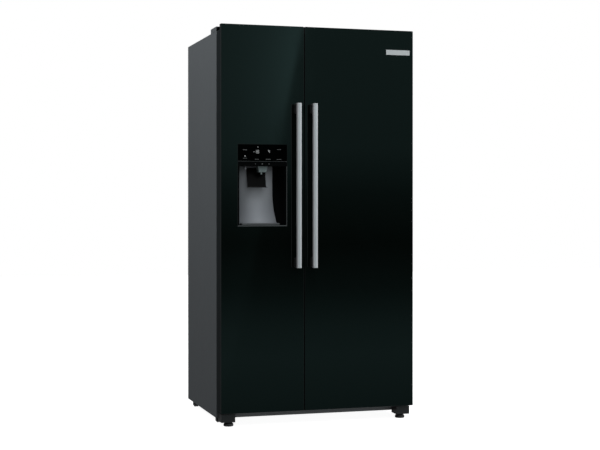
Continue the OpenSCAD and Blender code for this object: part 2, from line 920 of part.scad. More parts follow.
module ice_maker() {
    above = 70;
    mould_h = 60;
    mould_in = 160;
    mould_y = 225;
    mould_r = 38;
    end = 10;
    hanger_w = 12;
    cells = 7;
    z = ice_z + ice_h + above;
    cell = (ice_x[1] - ice_x[0] - 2 * end) / cells;
    color("#cfd4d6")
    difference() {
        union() {
            span([ice_x[0], ice_y[0] + mould_in, z], [ice_x[1], ice_y[1], z + mould_h]);
            // Hangers up to the ceiling
            for (x = [ice_x[0], ice_x[1] - hanger_w]) {
                span(
                    [x, ice_y[0] + mould_in + 20, z + mould_h],
                    [x + hanger_w, ice_y[1] - 20, cavity_top]
                );
            }
        }
        for (i = [0:cells - 1]) {
            x = ice_x[0] + end + i * cell;
            rod_x(x + 2, x + cell - 2, ice_y[0] + mould_y, z + mould_h, mould_r);
        }
    }
}

module ice_bin() {
    spout_z = ice_z + 6;
    spout_half = 36;
    spout_h = 44;
    spout_y = cab_y + 74;
    color("#d8dee0")
    difference() {
        union() {
            tray(ice_x, ice_y, [ice_z, ice_z + ice_h], bin_t);
            // Open spout towards the door's chute
            span(
                [chute_x - spout_half, spout_y, spout_z],
                [chute_x + spout_half, ice_y[0] + 1, spout_z + spout_h]
            );
        }
        span(
            [chute_x - spout_half + bin_t, spout_y - 4, spout_z + bin_t],
            [chute_x + spout_half - bin_t, ice_y[0] + bin_t + 1, spout_z + spout_h + 1]
        );
        rod_y(ice_y[0] - 1, ice_y[0] + bin_t + 1, chute_x, auger_z, auger_r + pin_fit);
        rod_y(ice_y[1] - bin_t - 1, ice_y[1] + 1, chute_x, auger_z, auger_r + pin_fit);
    }
}

module ice_auger() {
    flights = 9;
    flight_r = 42;
    flight_t = 3;
    end = 25;
    y0 = ice_y[0] + end;
    y1 = ice_y[1] - end;
    color("#9aa0a4")
    union() {
        rod_y(ice_y[0] - 2, ice_y[1] + 2, chute_x, auger_z, auger_r);
        for (i = [0:flights - 1]) {
            translate([chute_x, y0 + i * (y1 - y0) / (flights - 1), auger_z])
                rotate([-90, 0, 0]) rotate([0, 24, i * 80])
                    cylinder(h = flight_t, r = flight_r, center = true);
        }
    }
}

// ---- Doors ----

// Side outline of a door's body, drawn in by a wall; the front and back can be moved
module door_outline(y0, y1, wall) {
    ridge = door_y + ridge_t - wall;
    polygon([
        [y0, door_z0 + wall],
        [y1, door_z0 + wall],
        [y1, door_top - wall],
        [ridge, door_top - wall],
        [ridge, overall_h - wall],
        [y0, overall_h - wall]
    ]);
}

// Space of the two hinge bushes of a door whose axis is at the given place
module bush_rods(axis_x, r) {
    translate([axis_x, hinge_y, door_z0 - 1]) cylinder(h = bush_len + 1, r = r);
    translate([axis_x, hinge_y, door_top - bush_len]) cylinder(h = bush_len + 1, r = r);
}

module door_shell(x, axis_x) {
    color("#141617")
    difference() {
        along_x(x[0], x[1]) door_outline(door_y + glass_t, door_back, 0);
        along_x(x[0] + sheet_t, x[1] - sheet_t) door_outline(door_y, door_back + 1, sheet_t);
        bush_rods(axis_x, pin_r + bush_wall);
    }
}

module door_glass(x) {
    along_y(door_y, door_y + glass_t) round_rect([x[0], door_z0], [x[1], overall_h], glass_r);
}

module door_core(x, axis_x) {
    difference() {
        along_x(x[0] + sheet_t, x[1] - sheet_t)
            door_outline(door_y + glass_t, door_back - liner_t, sheet_t);
        bush_rods(axis_x, pin_r + bush_wall);
    }
}

// Extent of a door's inner dike, for a compartment and the side that its door hangs on
function dike_x(x, side) = side < 0
    ? [x[0] + dike_gap, x[1] - dike_gap - 8]
    : [x[0] + dike_gap + 8, x[1] - dike_gap];
function dike_z() = [cavity_z0 + dike_gap, cavity_top - dike_gap];
function bin_x(x, side) = side < 0
    ? [dike_x(x, side)[0] + dike_t + bin_side, x[1] - bin_free]
    : [x[0] + bin_free, dike_x(x, side)[1] - dike_t - bin_side];

// Lining of a door: a sheet and a raised dike that reaches into the compartment
module door_lining(door, x, side) {
    span(
        [door[0] + sheet_t, door_back - liner_t, door_z0 + sheet_t],
        [door[1] - sheet_t, door_back, door_top - sheet_t]
    );
    frame(dike_x(x, side), [door_back, door_back + dike_d], dike_z(), dike_t);
}

module gasket(x) {
    grow = gasket_lap + gasket_w;
    color("#9b9fa1")
    frame(
        [x[0] - grow, x[1] + grow],
        [door_back, cab_y - clear],
        [cavity_z0 - grow, cavity_top + grow],
        gasket_w
    );
}

module bushes(axis_x) {
    color("#c9cccd")
    difference() {
        union() {
            translate([axis_x, hinge_y, door_z0]) cylinder(h = bush_len, r = pin_r + bush_wall);
            translate([axis_x, hinge_y, door_top - bush_len])
                cylinder(h = bush_len, r = pin_r + bush_wall);
        }
        bush_rods(axis_x, pin_r + pin_fit);
    }
}

module bins(x, side, heights) {
    color("#dde7ea")
    for (z = heights) tray(bin_x(x, side), [door_back, door_back + bin_d + liner_t], [z, z + bin_h], bin_t);
}

// Handle: a bar in front of two posts
module handle_bar(x) {
    color("#c4c8cc")
    translate([0, 0, handle_z0]) linear_extrude(handle_len)
        round_rect(
            [x - handle_w / 2, door_y - handle_proud],
            [x + handle_w / 2, door_y - handle_proud + handle_t],
            handle_r
        );
}

module handle_posts(x) {
    color("#24282a")
    for (z = [handle_z0, handle_z0 + handle_len - post_len]) {
        span(
            [x - post_w / 2, door_y - handle_proud + handle_t, z],
            [x + post_w / 2, door_y, z + post_len]
        );
    }
}

// ---- Freezer door ----

bulge_head = 48;
bulge_z = [disp_z0 - bulge_reach, mouth_z + bulge_head];
low_bin_gap = 12;
high_bin_gap = 14;

// Ice chute through the door, from the recess ceiling up to the back
module chute(r) {
    reach = (bulge_y - chute_y) / cos(chute_slope) + 60;
    translate([chute_x, chute_y, recess_z1]) rotate([chute_slope - 90, 0, 0])
        translate([0, 0, -8]) cylinder(h = reach, r = r);
}

// Free space of the dispenser's recess: splayed sides, and a back that curves forward
module recess_space() {
    low_y = door_y + recess_low_d;
    deep_y = door_y + recess_d;
    bulge = recess_d - recess_low_d;
    curve_r = (recess_curve * recess_curve + bulge * bulge) / (2 * bulge);
    curve_z = recess_z0 + recess_curve;
    intersection() {
        translate([0, 0, recess_z0]) linear_extrude(recess_z1 - recess_z0) polygon([
            [recess_x0, door_y - 1],
            [recess_x1, door_y - 1],
            [recess_x1 - recess_in_right, deep_y],
            [recess_x0 + recess_in_left, deep_y]
        ]);
        along_x(recess_x0, recess_x1) union() {
            translate([door_y - 1, curve_z]) square([recess_d + 1, recess_z1 - curve_z]);
            intersection() {
                translate([deep_y - curve_r, curve_z]) circle(curve_r, $fn = 180);
                translate([door_y - 1, recess_z0]) square([recess_d + 1, recess_curve]);
            }
        }
    }
}

module freezer_door_shell() { door_shell(freezer_door_x, -hinge_x); }

module freezer_door_glass() {
    color("#0c1112")
    difference() {
        door_glass(freezer_door_x);
        span([disp_x0, door_y - 1, disp_z0], [disp_x1, door_y + glass_t + 1, disp_z1]);
    }
}

module freezer_door_core() {
    inner = dike_x(freezer_x, -1);
    color("#e8dfae")
    difference() {
        union() {
            door_core(freezer_door_x, -hinge_x);
            // Insulation in the bulge behind the dispenser
            span(
                [inner[0] + dike_t + liner_t, door_back - liner_t, bulge_z[0] + liner_t],
                [inner[1] - dike_t - liner_t, bulge_y - liner_t, bulge_z[1] - liner_t]
            );
        }
        span([disp_x0, door_y, disp_z0], [disp_x1, door_y + housing_d, disp_z1]);
        chute(chute_r + chute_wall);
    }
}

module freezer_door_liner() {
    inner = dike_x(freezer_x, -1);
    x0 = inner[0] + dike_t;
    x1 = inner[1] - dike_t;
    color("#f2f3f3")
    difference() {
        union() {
            door_lining(freezer_door_x, freezer_x, -1);
            span([x0, door_back - liner_t, bulge_z[0]], [x1, bulge_y, bulge_z[1]]);
            // Lugs that hold the flap's pin
            for (x = [chute_x - flap_r - 9, chute_x + flap_r + 3]) {
                span([x, bulge_y - 1, flap_z - 5], [x + 6, flap_y + 5, flap_z + 5]);
            }
        }
        span(
            [x0 + liner_t, door_back - liner_t - 1, bulge_z[0] + liner_t],
            [x1 - liner_t, bulge_y - liner_t, bulge_z[1] - liner_t]
        );
        chute(chute_r);
        rod_x(chute_x - flap_r - 12, chute_x + flap_r + 12, flap_y, flap_z, flap_pin_r + pin_fit);
    }
}

module freezer_door_gasket() { gasket(freezer_x); }
module freezer_door_bushes() { bushes(-hinge_x); }

module freezer_door_bins() {
    low_z = dike_z()[0] + dike_t + low_bin_gap;
    high_z = bulge_z[1] + high_bin_gap;
    low = [for (i = [0:2]) low_z + i * (bulge_z[0] - low_z) / 3];
    high = [for (i = [0:1]) high_z + i * (dike_z()[1] - dike_t - high_z) / 2];
    bins(freezer_x, -1, concat(low, high));
}

module freezer_handle() { handle_bar(split_x - handle_offset); }
module freezer_handle_posts() { handle_posts(split_x - handle_offset); }

module dispenser_housing() {
    color("#0b0c0d")
    difference() {
        union() {
            difference() {
                span([disp_x0, door_y, disp_z0], [disp_x1, door_y + housing_d, disp_z1]);
                recess_space();
                // Seat of the control panel
                span(
                    [disp_x0 - 1, door_y - 1, recess_z1 + strip_h],
                    [disp_x1 + 1, door_y + panel_t, disp_z1 + 1]
                );
            }
            // Lugs for the paddle's pins
            for (x = [paddle_x - paddle_w / 2 - 9, paddle_x + paddle_w / 2 + 1]) {
                span([x, paddle_y - 5, paddle_z - 5], [x + 8, paddle_y + 5, recess_z1 + 1]);
            }
            // Duct of the ice chute, up to the lining
            intersection() {
                chute(chute_r + chute_wall);
                span(
                    [disp_x0, door_y + housing_d - 1, recess_z1 + 1],
                    [disp_x1, bulge_y - liner_t, bulge_z[1] - liner_t]
                );
            }
        }
        chute(chute_r);
        rod_x(
            paddle_x - paddle_w / 2 - 7,
            paddle_x + paddle_w / 2 + 7,
            paddle_y,
            paddle_z,
            paddle_pin_r + pin_fit
        );
    }
}

module dispenser_panel() {
    color("#050606")
    span([disp_x0, door_y, recess_z1 + strip_h], [disp_x1, door_y + panel_t, disp_z1]);
}

// Ice and water outlet under the recess ceiling
module dispenser_nozzle() {
    top_w = 44;
    low_w = 34;
    h = 26;
    half_d = 19;
    ice_bore = 13;
    spout_h = 10;
    spout_r = 4;
    water_bore = 2;
    water_x = chute_x - 5;
    water_y = chute_y - 12;
    low_z = recess_z1 - h;
    color("#a9b4b6")
    difference() {
        union() {
            along_y(chute_y - half_d, chute_y + half_d) polygon([
                [chute_x - top_w / 2, recess_z1],
                [chute_x + top_w / 2, recess_z1],
                [chute_x + low_w / 2, low_z],
                [chute_x - low_w / 2, low_z]
            ]);
            translate([water_x, water_y, low_z - spout_h]) cylinder(h = spout_h + 2, r = spout_r);
        }
        translate([chute_x, chute_y + 3, low_z - 1]) cylinder(h = h + 2, r = ice_bore);
        translate([water_x, water_y, low_z - spout_h - 1]) cylinder(h = h + 8, r = water_bore);
    }
}

// Paddle that a glass pushes back, hung on two stub pins
module dispenser_paddle() {
    x0 = paddle_x - paddle_w / 2;
    x1 = paddle_x + paddle_w / 2;
    stub = 6;
    lip_d = 7;
    lip_t = 3;
    color("#0d0e0f")
    translate([0, paddle_y, paddle_z]) {
        rod_x(x0 - stub, x1 + stub, 0, 0, paddle_pin_r);
        rotate([-paddle_lean, 0, 0]) {
            span([x0, -paddle_t / 2, -paddle_h], [x1, paddle_t / 2, 2]);
            span([x0, -paddle_t / 2 - lip_d, -paddle_h], [x1, 0, -paddle_h + lip_t]);
        }
    }
}

// Flap that closes the chute on the compartment side
module ice_flap() {
    disc_t = 3;
    arm_half = 10;
    color("#b3b8ba")
    translate([chute_x, flap_y, flap_z]) {
        rod_x(-flap_r - 8, flap_r + 8, 0, 0, flap_pin_r);
        translate([0, -2, mouth_z - flap_z]) rotate([-90, 0, 0]) cylinder(h = disc_t, r = flap_r);
        span([-arm_half, -2, mouth_z - flap_z], [arm_half, 1, 2]);
    }
}

// Slotted tray on the recess floor, with clearance to the walls
module drip_grille() {
    h = 7;
    side_gap = 2;
    slots_n = 9;
    rib = 5;
    y0 = door_y + 3;
    y1 = door_y + recess_low_d - 3;
    right = recess_x1 - recess_in_right * (y1 - door_y) / recess_d - side_gap;
    left = recess_x0 + recess_in_left * (y1 - door_y) / recess_d + side_gap;
    pitch = (right - left - 20) / slots_n;
    color("#8f969b")
    difference() {
        span([left, y0, recess_z0], [right, y1, recess_z0 + h]);
        for (i = [0:slots_n - 1]) {
            x = left + 12 + i * pitch;
            span([x, y0 + rib, recess_z0 + 2], [x + pitch - rib, y1 - rib, recess_z0 + h + 1]);
        }
    }
}

// ---- Fridge door ----

module fridge_door_shell() { door_shell(fridge_door_x, hinge_x); }

module fridge_door_glass() {
    color("#0c1112") door_glass(fridge_door_x);
}

module fridge_door_core() {
    color("#e8dfae") door_core(fridge_door_x, hinge_x);
}

module fridge_door_liner() {
    color("#f2f3f3") door_lining(fridge_door_x, fridge_x, 1);
}

module fridge_door_gasket() { gasket(fridge_x); }
module fridge_door_bushes() { bushes(hinge_x); }

module fridge_door_bins() {
    n = 6;
    z0 = dike_z()[0] + dike_t + low_bin_gap;
    bins(fridge_x, 1, [for (i = [0:n - 1]) z0 + i * (dike_z()[1] - dike_t - z0) / n]);
}

module fridge_handle() { handle_bar(split_x + handle_offset); }
module fridge_handle_posts() { handle_posts(split_x + handle_offset); }

module badge() {
    x1 = half_w - badge_side;
    z1 = overall_h - badge_drop;
    color("#c9cbcc")
    along_y(door_y - badge_t, door_y) round_rect([x1 - badge_w, z1 - badge_h], [x1, z1], 2);
}

outer_shell();
rear_panel();
base_plate();
insulation();
centre_rail();
freezer_liner();
fridge_liner();
duct_covers();
evaporator();
evaporator_fan();
compressor();
condenser();
condenser_fan();
drip_pan();
compressor_cover();
cord_gland();
water_valve();
hinge_brackets();
hinge_covers();
hinge_screws();
roller_brackets();
roller_front_left();
roller_front_right();
roller_rear_left();
roller_rear_right();
foot_left();
foot_right();
freezer_shelves();
fridge_shelves();
freezer_drawer();
crisper_lower();
crisper_upper();
ice_maker();
ice_bin();
ice_auger();
freezer_door_shell();
freezer_door_glass();
freezer_door_core();
freezer_door_liner();
freezer_door_gasket();
freezer_door_bushes();
freezer_door_bins();
freezer_handle();
freezer_handle_posts();
dispenser_housing();
dispenser_panel();
dispenser_nozzle();
dispenser_paddle();
ice_flap();
drip_grille();
fridge_door_shell();
fridge_door_glass();
fridge_door_core();
fridge_door_liner();
fridge_door_gasket();
fridge_door_bushes();
fridge_door_bins();
fridge_handle();
fridge_handle_posts();
badge();
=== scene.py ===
import bpy
import bmesh
import json
import math
from mathutils import Matrix, Vector


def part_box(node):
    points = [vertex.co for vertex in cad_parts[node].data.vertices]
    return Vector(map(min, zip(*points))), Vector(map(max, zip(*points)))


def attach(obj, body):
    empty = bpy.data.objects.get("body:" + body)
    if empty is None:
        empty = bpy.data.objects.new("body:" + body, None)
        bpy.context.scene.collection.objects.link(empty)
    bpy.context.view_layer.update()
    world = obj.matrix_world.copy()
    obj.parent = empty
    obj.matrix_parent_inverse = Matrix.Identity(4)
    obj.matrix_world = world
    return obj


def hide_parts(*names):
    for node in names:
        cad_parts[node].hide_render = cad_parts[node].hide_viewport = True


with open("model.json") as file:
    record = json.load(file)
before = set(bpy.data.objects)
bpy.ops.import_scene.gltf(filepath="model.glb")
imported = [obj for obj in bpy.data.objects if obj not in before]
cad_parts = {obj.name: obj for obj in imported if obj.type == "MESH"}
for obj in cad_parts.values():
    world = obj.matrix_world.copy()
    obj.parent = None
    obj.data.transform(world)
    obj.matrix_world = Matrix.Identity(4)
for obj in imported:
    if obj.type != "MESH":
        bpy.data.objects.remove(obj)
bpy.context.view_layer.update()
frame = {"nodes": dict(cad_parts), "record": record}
nodes = frame["nodes"]
record = frame["record"]
bodyOf = {node: body for body, names in record["behaviour"]["bodies"].items() for node in names}
slotOf = {row["node"]: row["material_slot"] for row in record["subparts"]}
tiny = 1e-6     # two places nearer than this are one
slack = 1e-5    # room when a face or edge is looked for by its place
print("frame loaded:", len(nodes), "nodes")


class Signal:
    # one output socket of a shader tree, so that node maths reads as plain maths
    def __init__(self, net, socket):
        self.net, self.socket = net, socket

    def __add__(self, other): return self.net.maths("ADD", self, other)
    def __radd__(self, other): return self.net.maths("ADD", other, self)
    def __sub__(self, other): return self.net.maths("SUBTRACT", self, other)
    def __rsub__(self, other): return self.net.maths("SUBTRACT", other, self)
    def __mul__(self, other): return self.net.maths("MULTIPLY", self, other)
    def __rmul__(self, other): return self.net.maths("MULTIPLY", other, self)
    def __truediv__(self, other): return self.net.maths("DIVIDE", self, other)
    def __rtruediv__(self, other): return self.net.maths("DIVIDE", other, self)
    def __gt__(self, other): return self.net.maths("GREATER_THAN", self, other)


class Net:
    # the node tree of a material or of the world
    def __init__(self, owner):
        owner.use_nodes = True
        self.owner, self.tree = owner, owner.node_tree
        self.tree.nodes.clear()

    def node(self, kind, settings=None, inputs=None, output=0):
        made = self.tree.nodes.new(kind)
        for key, value in (settings or {}).items():
            if key == "stops":
                ramp = made.color_ramp.elements
                while len(ramp) < len(value):
                    ramp.new(1)
                for element, (place, shade) in zip(ramp, value):
                    element.position = place
                    element.color = (shade, shade, shade, 1) if isinstance(shade, float) else (*shade, 1)
            else:
                setattr(made, key, value)
        for key, value in (inputs or {}).items():
            if isinstance(value, Signal):
                self.tree.links.new(value.socket, made.inputs[key])
            else:
                made.inputs[key].default_value = value
        return Signal(self, made.outputs[output]) if made.outputs else made

    def maths(self, operation, *values):
        return self.node("ShaderNodeMath", {"operation": operation}, dict(enumerate(values)))

    def smooth(self, value, low, high):
        return self.node("ShaderNodeMapRange", {"interpolation_type": "SMOOTHSTEP"},
                         {"Value": value, "From Min": low, "From Max": high})

    def blend(self, factor, first, second):
        return self.node("ShaderNodeMix", {"data_type": "RGBA"}, {0: factor, 6: first, 7: second}, 2)

    def axes(self, vector):
        parts = self.node("ShaderNodeSeparateXYZ", None, {0: vector})
        sockets = parts.socket.node.outputs
        return [Signal(self, sockets[i]) for i in range(3)]

    def place(self, scale=(1, 1, 1), centre=(0, 0, 0), turn=(0, 0, 0)):
        coords = self.node("ShaderNodeTexCoord", output="Object")
        return self.node("ShaderNodeMapping", {"vector_type": "POINT"},
                         {"Vector": coords, "Scale": scale, "Rotation": turn,
                          "Location": [-c * s for c, s in zip(centre, scale)]})

    def noise(self, size, detail=2.0, stretch=(1, 1, 1), rough=0.5):
        # size is the width of one blot in metres
        return self.node("ShaderNodeTexNoise", None,
                         {"Vector": self.place([s / size for s in stretch]), "Scale": 1.0,
                          "Detail": detail, "Roughness": rough})


def shade(colour, factor):
    return (*[min(1, c * factor) for c in colour], 1)


def surface(name, colour, roughness, spread=0.08, blot=0.12, grain=None, scuff=0.04, metallic=0.0,
            streak=None, alpha=1.0, specular=0.5, coat=0.0, ior=1.5, glow=0.0, transmission=0.0):
    # a finish whose tone and gloss drift over the surface
    # grain is (size, height), and streak is the stretch of the noise
    material = bpy.data.materials.new(name)
    net = Net(material)
    stretch = streak or (1, 1, 1)
    drift = net.noise(blot, 3.0, stretch)
    fine = net.noise(blot * 0.13, 4.0, stretch, 0.6)
    tone = net.blend(drift * 0.7 + fine * 0.3, shade(colour, 1 - spread), shade(colour, 1 + spread))
    inputs = {
        "Base Color": tone, "Roughness": roughness - scuff / 2 + fine * scuff,
        "Metallic": metallic, "Alpha": alpha, "IOR": ior, "Specular IOR Level": specular,
        "Coat Weight": coat, "Transmission Weight": transmission,
    }
    if grain:
        bumps = net.noise(grain[0], 2.0, stretch)
        inputs["Normal"] = net.node("ShaderNodeBump", None,
                                    {"Strength": 0.5, "Distance": grain[1], "Height": bumps})
    if glow:
        inputs["Emission Color"] = tone
        inputs["Emission Strength"] = glow
    shader = net.node("ShaderNodeBsdfPrincipled", None, inputs)
    net.node("ShaderNodeOutputMaterial", None, {"Surface": shader})
    return material


finishes = {
    "cabinetPaint": surface("cabinetPaint", (0.07, 0.078, 0.0835), 0.5, 0.06, 0.3, (0.0016, 0.0003), 0.08),
    "backSheet": surface("backSheet", (0.11, 0.115, 0.12), 0.42, 0.1, 0.03, (0.004, 0.0001), 0.12, 0.6),
    "frameSteel": surface("frameSteel", (0.16, 0.165, 0.17), 0.4, 0.06, 0.1, (0.001, 0.0001), 0.06),
    "foam": surface("foam", (0.78, 0.7, 0.42), 0.9, 0.12, 0.02, (0.002, 0.0006)),
    "whiteLiner": surface("whiteLiner", (0.80, 0.815, 0.82), 0.3, 0.015, 0.4, (0.0012, 0.00005), 0.05),
    "finAluminium": surface("finAluminium", (0.6, 0.61, 0.62), 0.35, 0.08, 0.02, None, 0.12, 1.0, (1, 1, 0.1)),
    "blackSteel": surface("blackSteel", (0.014, 0.014, 0.015), 0.32, 0.2, 0.03, (0.0012, 0.0001), 0.1),
    "darkPlastic": surface("darkPlastic", (0.016, 0.0165, 0.017), 0.5, 0.25, 0.02, (0.0009, 0.00012), 0.1),
    "blackRubber": surface("blackRubber", (0.015, 0.015, 0.015), 0.7, 0.2, 0.01, (0.0007, 0.0001), 0.1),
    "valvePlastic": surface("valvePlastic", (0.68, 0.69, 0.69), 0.4, 0.03, 0.02, (0.001, 0.00005), 0.08),
    "brightSteel": surface("brightSteel", (0.58, 0.59, 0.6), 0.28, 0.06, 0.01, None, 0.1, 1.0, (1, 1, 0.15)),
    "badgeMetal": surface("badgeMetal", (0.56, 0.585, 0.595), 0.3, 0.06, 0.01, (0.0004, 0.00004),
                          0.12, 0.3, (0.08, 1, 1)),
    "shelfGlass": surface("shelfGlass", (0.7, 0.8, 0.78), 0.06, 0.04, 0.1, None, 0.03, alpha=0.28),
    "glassEdge": surface("glassEdge", (0.25, 0.5, 0.42), 0.12, 0.1, 0.05, None, 0.05, alpha=0.75),
    "clearPlastic": surface("clearPlastic", (0.74, 0.82, 0.85), 0.1, 0.03, 0.08, (0.006, 0.0001),
                            0.05, alpha=0.3),
    "clearRim": surface("clearRim", (0.66, 0.76, 0.8), 0.14, 0.03, 0.06, None, 0.05, alpha=0.72),
    "greyPlastic": surface("greyPlastic", (0.35, 0.36, 0.37), 0.45, 0.05, 0.03, (0.0008, 0.00006), 0.08),
    "sealRubber": surface("sealRubber", (0.3, 0.31, 0.315), 0.6, 0.06, 0.04, (0.0009, 0.00008), 0.1),
    "doorSteel": surface("doorSteel", (0.0035, 0.006, 0.0068), 0.45, 0.1, 0.3, (0.0012, 0.00006),
                         0.06, specular=0.05),
    "dispenserBlack": surface("dispenserBlack", (0.0018, 0.0020, 0.0022), 0.2, 0.15, 0.05, None,
                              0.05, specular=0.04),
    # lighter colour for the paddle's lower lip: a painted highlight of its rounded edge
    "paddleLip": surface("paddleLip", (0.04, 0.041, 0.042), 0.3, 0.12, 0.02, (0.001, 0.00003), 0.06,
                         specular=0.3),
    "paddleBlack": surface("paddleBlack", (0.0012, 0.0012, 0.0014), 0.3, 0.15, 0.03,
                           (0.001, 0.00003), 0.06, specular=0.05),
    "panelGlass": surface("panelGlass", (0.0004, 0.0004, 0.0004), 0.05, 0.1, 0.05, None, 0.02, specular=0.02),
    # light grey for the strips painted as highlights round the dispenser recess
    "frameSilver": surface("frameSilver", (0.125, 0.138, 0.141), 0.3, 0.08, 0.01, None, 0.08, 0.3),
    "printWhite": surface("printWhite", (0.09, 0.095, 0.095), 0.5, 0.1, 0.004, None, 0.05, glow=0.04),
    "printLit": surface("printLit", (0.42, 0.44, 0.44), 0.5, 0.1, 0.004, None, 0.05, glow=0.2),
    "lampLens": surface("lampLens", (0.86, 0.87, 0.85), 0.3, 0.02, 0.02, (0.0015, 0.0002), 0.05, glow=0.25),
    "nozzleGrey": surface("nozzleGrey", (0.2, 0.25, 0.25), 0.25, 0.06, 0.02, None, 0.06),
    "grilleGrey": surface("grilleGrey", (0.1, 0.107, 0.112), 0.35, 0.08, 0.02, (0.0008, 0.00005), 0.06, 0.3),
}


def handleFinish():
    # satin bar stock: fine lines run along the bar, with faint soft banding
    net = Net(bpy.data.materials.new("handleAluminium"))
    lines = net.noise(0.0005, 3.0, (1, 1, 0.004), 0.7)
    bands = net.noise(0.07, 2.0, (1, 1, 0.5))
    tone = net.blend(lines * 0.6 + bands * 0.4, (0.6, 0.62, 0.635, 1), (0.86, 0.88, 0.9, 1))
    bump = net.node("ShaderNodeBump", None, {"Strength": 0.35, "Distance": 0.00004, "Height": lines})
    shader = net.node("ShaderNodeBsdfPrincipled", None, {
        "Base Color": tone, "Metallic": 0.85, "Roughness": 0.3 + lines * 0.14, "Normal": bump})
    net.node("ShaderNodeOutputMaterial", None, {"Surface": shader})
    return net.owner


def doorGlassFinish():
    # printed black behind clear glass, with hardly visible wipe marks in the gloss
    net = Net(bpy.data.materials.new("blackGlass"))
    wipes = net.smooth(net.noise(0.16, 5.0, (1, 1, 0.45), 0.62), 0.45, 0.75)
    specks = net.smooth(net.noise(0.0016, 1.0), 0.72, 0.8)
    tone = net.blend(specks * 0.35, (0.0015, 0.0028, 0.0022, 1), (0.006, 0.0075, 0.0075, 1))
    swell = net.noise(0.22, 1.0)
    bump = net.node("ShaderNodeBump", None, {"Strength": 0.25, "Distance": 0.00008, "Height": swell})
    shader = net.node("ShaderNodeBsdfPrincipled", None, {
        "Base Color": tone, "Roughness": 0.035 + wipes * 0.035, "IOR": 1.5, "Normal": bump})
    net.node("ShaderNodeOutputMaterial", None, {"Surface": shader})
    return net.owner


def recessFinish():
    # pearl grey moulding, painted lighter towards its top to offset the shade that the recess's ceiling casts
    # there
    net = Net(bpy.data.materials.new("recessGrey"))
    height = net.axes(net.node("ShaderNodeTexCoord", output="Object"))[2]
    paintedTopLight = net.smooth(height, 0.95, 1.15)
    fleck = net.noise(0.0012, 2.0)
    # painted light: the lighter upper tone stands in for the light lost under the recess's ceiling
    tone = net.blend(paintedTopLight, (0.25, 0.272, 0.297, 1), (0.52, 0.56, 0.59, 1))
    tone = net.blend(fleck * 0.15, tone, (0.4, 0.42, 0.44, 1))
    shader = net.node("ShaderNodeBsdfPrincipled", None, {
        "Base Color": tone, "Metallic": 0.0, "Roughness": 0.5 + fleck * 0.08})
    net.node("ShaderNodeOutputMaterial", None, {"Surface": shader})
    return net.owner


finishes["handleAluminium"] = handleFinish()
finishes["blackGlass"] = doorGlassFinish()
finishes["recessGrey"] = recessFinish()

slotFinish = {
    "cabinet_paint": "cabinetPaint", "back_sheet": "backSheet", "frame_steel": "frameSteel",
    "foam": "foam", "white_liner": "whiteLiner", "fin_aluminium": "finAluminium",
    "black_steel": "blackSteel", "dark_plastic": "darkPlastic", "black_rubber": "blackRubber",
    "valve_plastic": "valvePlastic", "bright_steel": "brightSteel", "shelf_glass": "shelfGlass",
    "clear_plastic": "clearPlastic", "grey_plastic": "greyPlastic", "door_steel": "doorSteel",
    "black_glass": "blackGlass", "handle_aluminium": "handleAluminium",
    "dispenser_black": "dispenserBlack", "dispenser_grey": "recessGrey",
}
print("finishes made:", len(finishes))


def block(bm, low, high):
    # a box between two corners; returns its vertices
    low, high = Vector(low), Vector(high)
    place = Matrix.Translation((low + high) / 2) @ Matrix.Diagonal((*(high - low), 1))
    return bmesh.ops.create_cube(bm, size=1, matrix=place)["verts"]


def bevel(bm, edges, width, steps=2):
    edges = list(edges)
    if edges:
        bmesh.ops.bevel(bm, geom=edges, offset=width, offset_type="OFFSET", segments=steps,
                        profile=0.5, affect="EDGES", material=-1, clamp_overlap=True)


def edgesOf(verts, test=None):
    # the edges among some vertices, filtered by a test on their two ends
    chosen = set(verts)
    found = {e for v in chosen for e in v.link_edges if e.other_vert(v) in chosen}
    return [e for e in found if test is None or test(e.verts[0].co, e.verts[1].co)]


def alongAxis(axis):
    others = [i for i in range(3) if i != axis]
    return lambda a, b: all(abs(a[i] - b[i]) < tiny for i in others)


def roundBlock(bm, low, high, corner, axis, edge=0.0006, steps=4):
    # a box with big rounds along one axis and a small break on the rest
    count = len(bm.verts)
    verts = block(bm, low, high)
    bevel(bm, edgesOf(verts, alongAxis(axis)), corner, steps)
    bm.verts.ensure_lookup_table()
    made = list(bm.verts)[count:]
    limits = (low[axis], high[axis])
    rims = [e for e in edgesOf(made) if any(
        abs(e.verts[0].co[axis] - c) < tiny and abs(e.verts[1].co[axis] - c) < tiny for c in limits)]
    bevel(bm, rims, edge, 2)


def sharpEdges(bm, degrees=35):
    return [e for e in bm.edges if len(e.link_faces) == 2 and e.calc_face_angle(0) > math.radians(degrees)]


def nodeShape(node):
    # a clean copy of a CAD node's mesh, to be worked on
    bm = bmesh.new()
    bm.from_mesh(nodes[node].data)
    bmesh.ops.remove_doubles(bm, verts=bm.verts, dist=tiny)
    bmesh.ops.dissolve_limit(bm, angle_limit=math.radians(0.5), verts=bm.verts, edges=bm.edges)
    return bm


def pushIn(bm, faces, margin, depth):
    # sinks each face by depth behind a border
    bmesh.ops.inset_individual(bm, faces=faces, thickness=margin, depth=0)
    for face in faces:
        moved = bmesh.ops.extrude_discrete_faces(bm, faces=[face])["faces"]
        for one in moved:
            bmesh.ops.translate(bm, verts=one.verts, vec=-one.normal * depth)


def cutAcross(bm, place, normal):
    # new edges wherever a plane crosses the shape
    bmesh.ops.bisect_plane(bm, geom=bm.verts[:] + bm.edges[:] + bm.faces[:], plane_co=place, plane_no=normal)


def spun(bm, outline, centre, axis, steps=48):
    # turns an outline of (radius, height) points round an axis
    axis = Vector(axis)
    side = axis.orthogonal().normalized()
    verts = [bm.verts.new(Vector(centre) + side * r + axis * h) for r, h in outline]
    edges = [bm.edges.new(pair) for pair in zip(verts, verts[1:])]
    bmesh.ops.spin(bm, geom=verts + edges, cent=centre, axis=axis, angle=math.tau, steps=steps, use_merge=True)
    bmesh.ops.remove_doubles(bm, verts=bm.verts, dist=tiny)


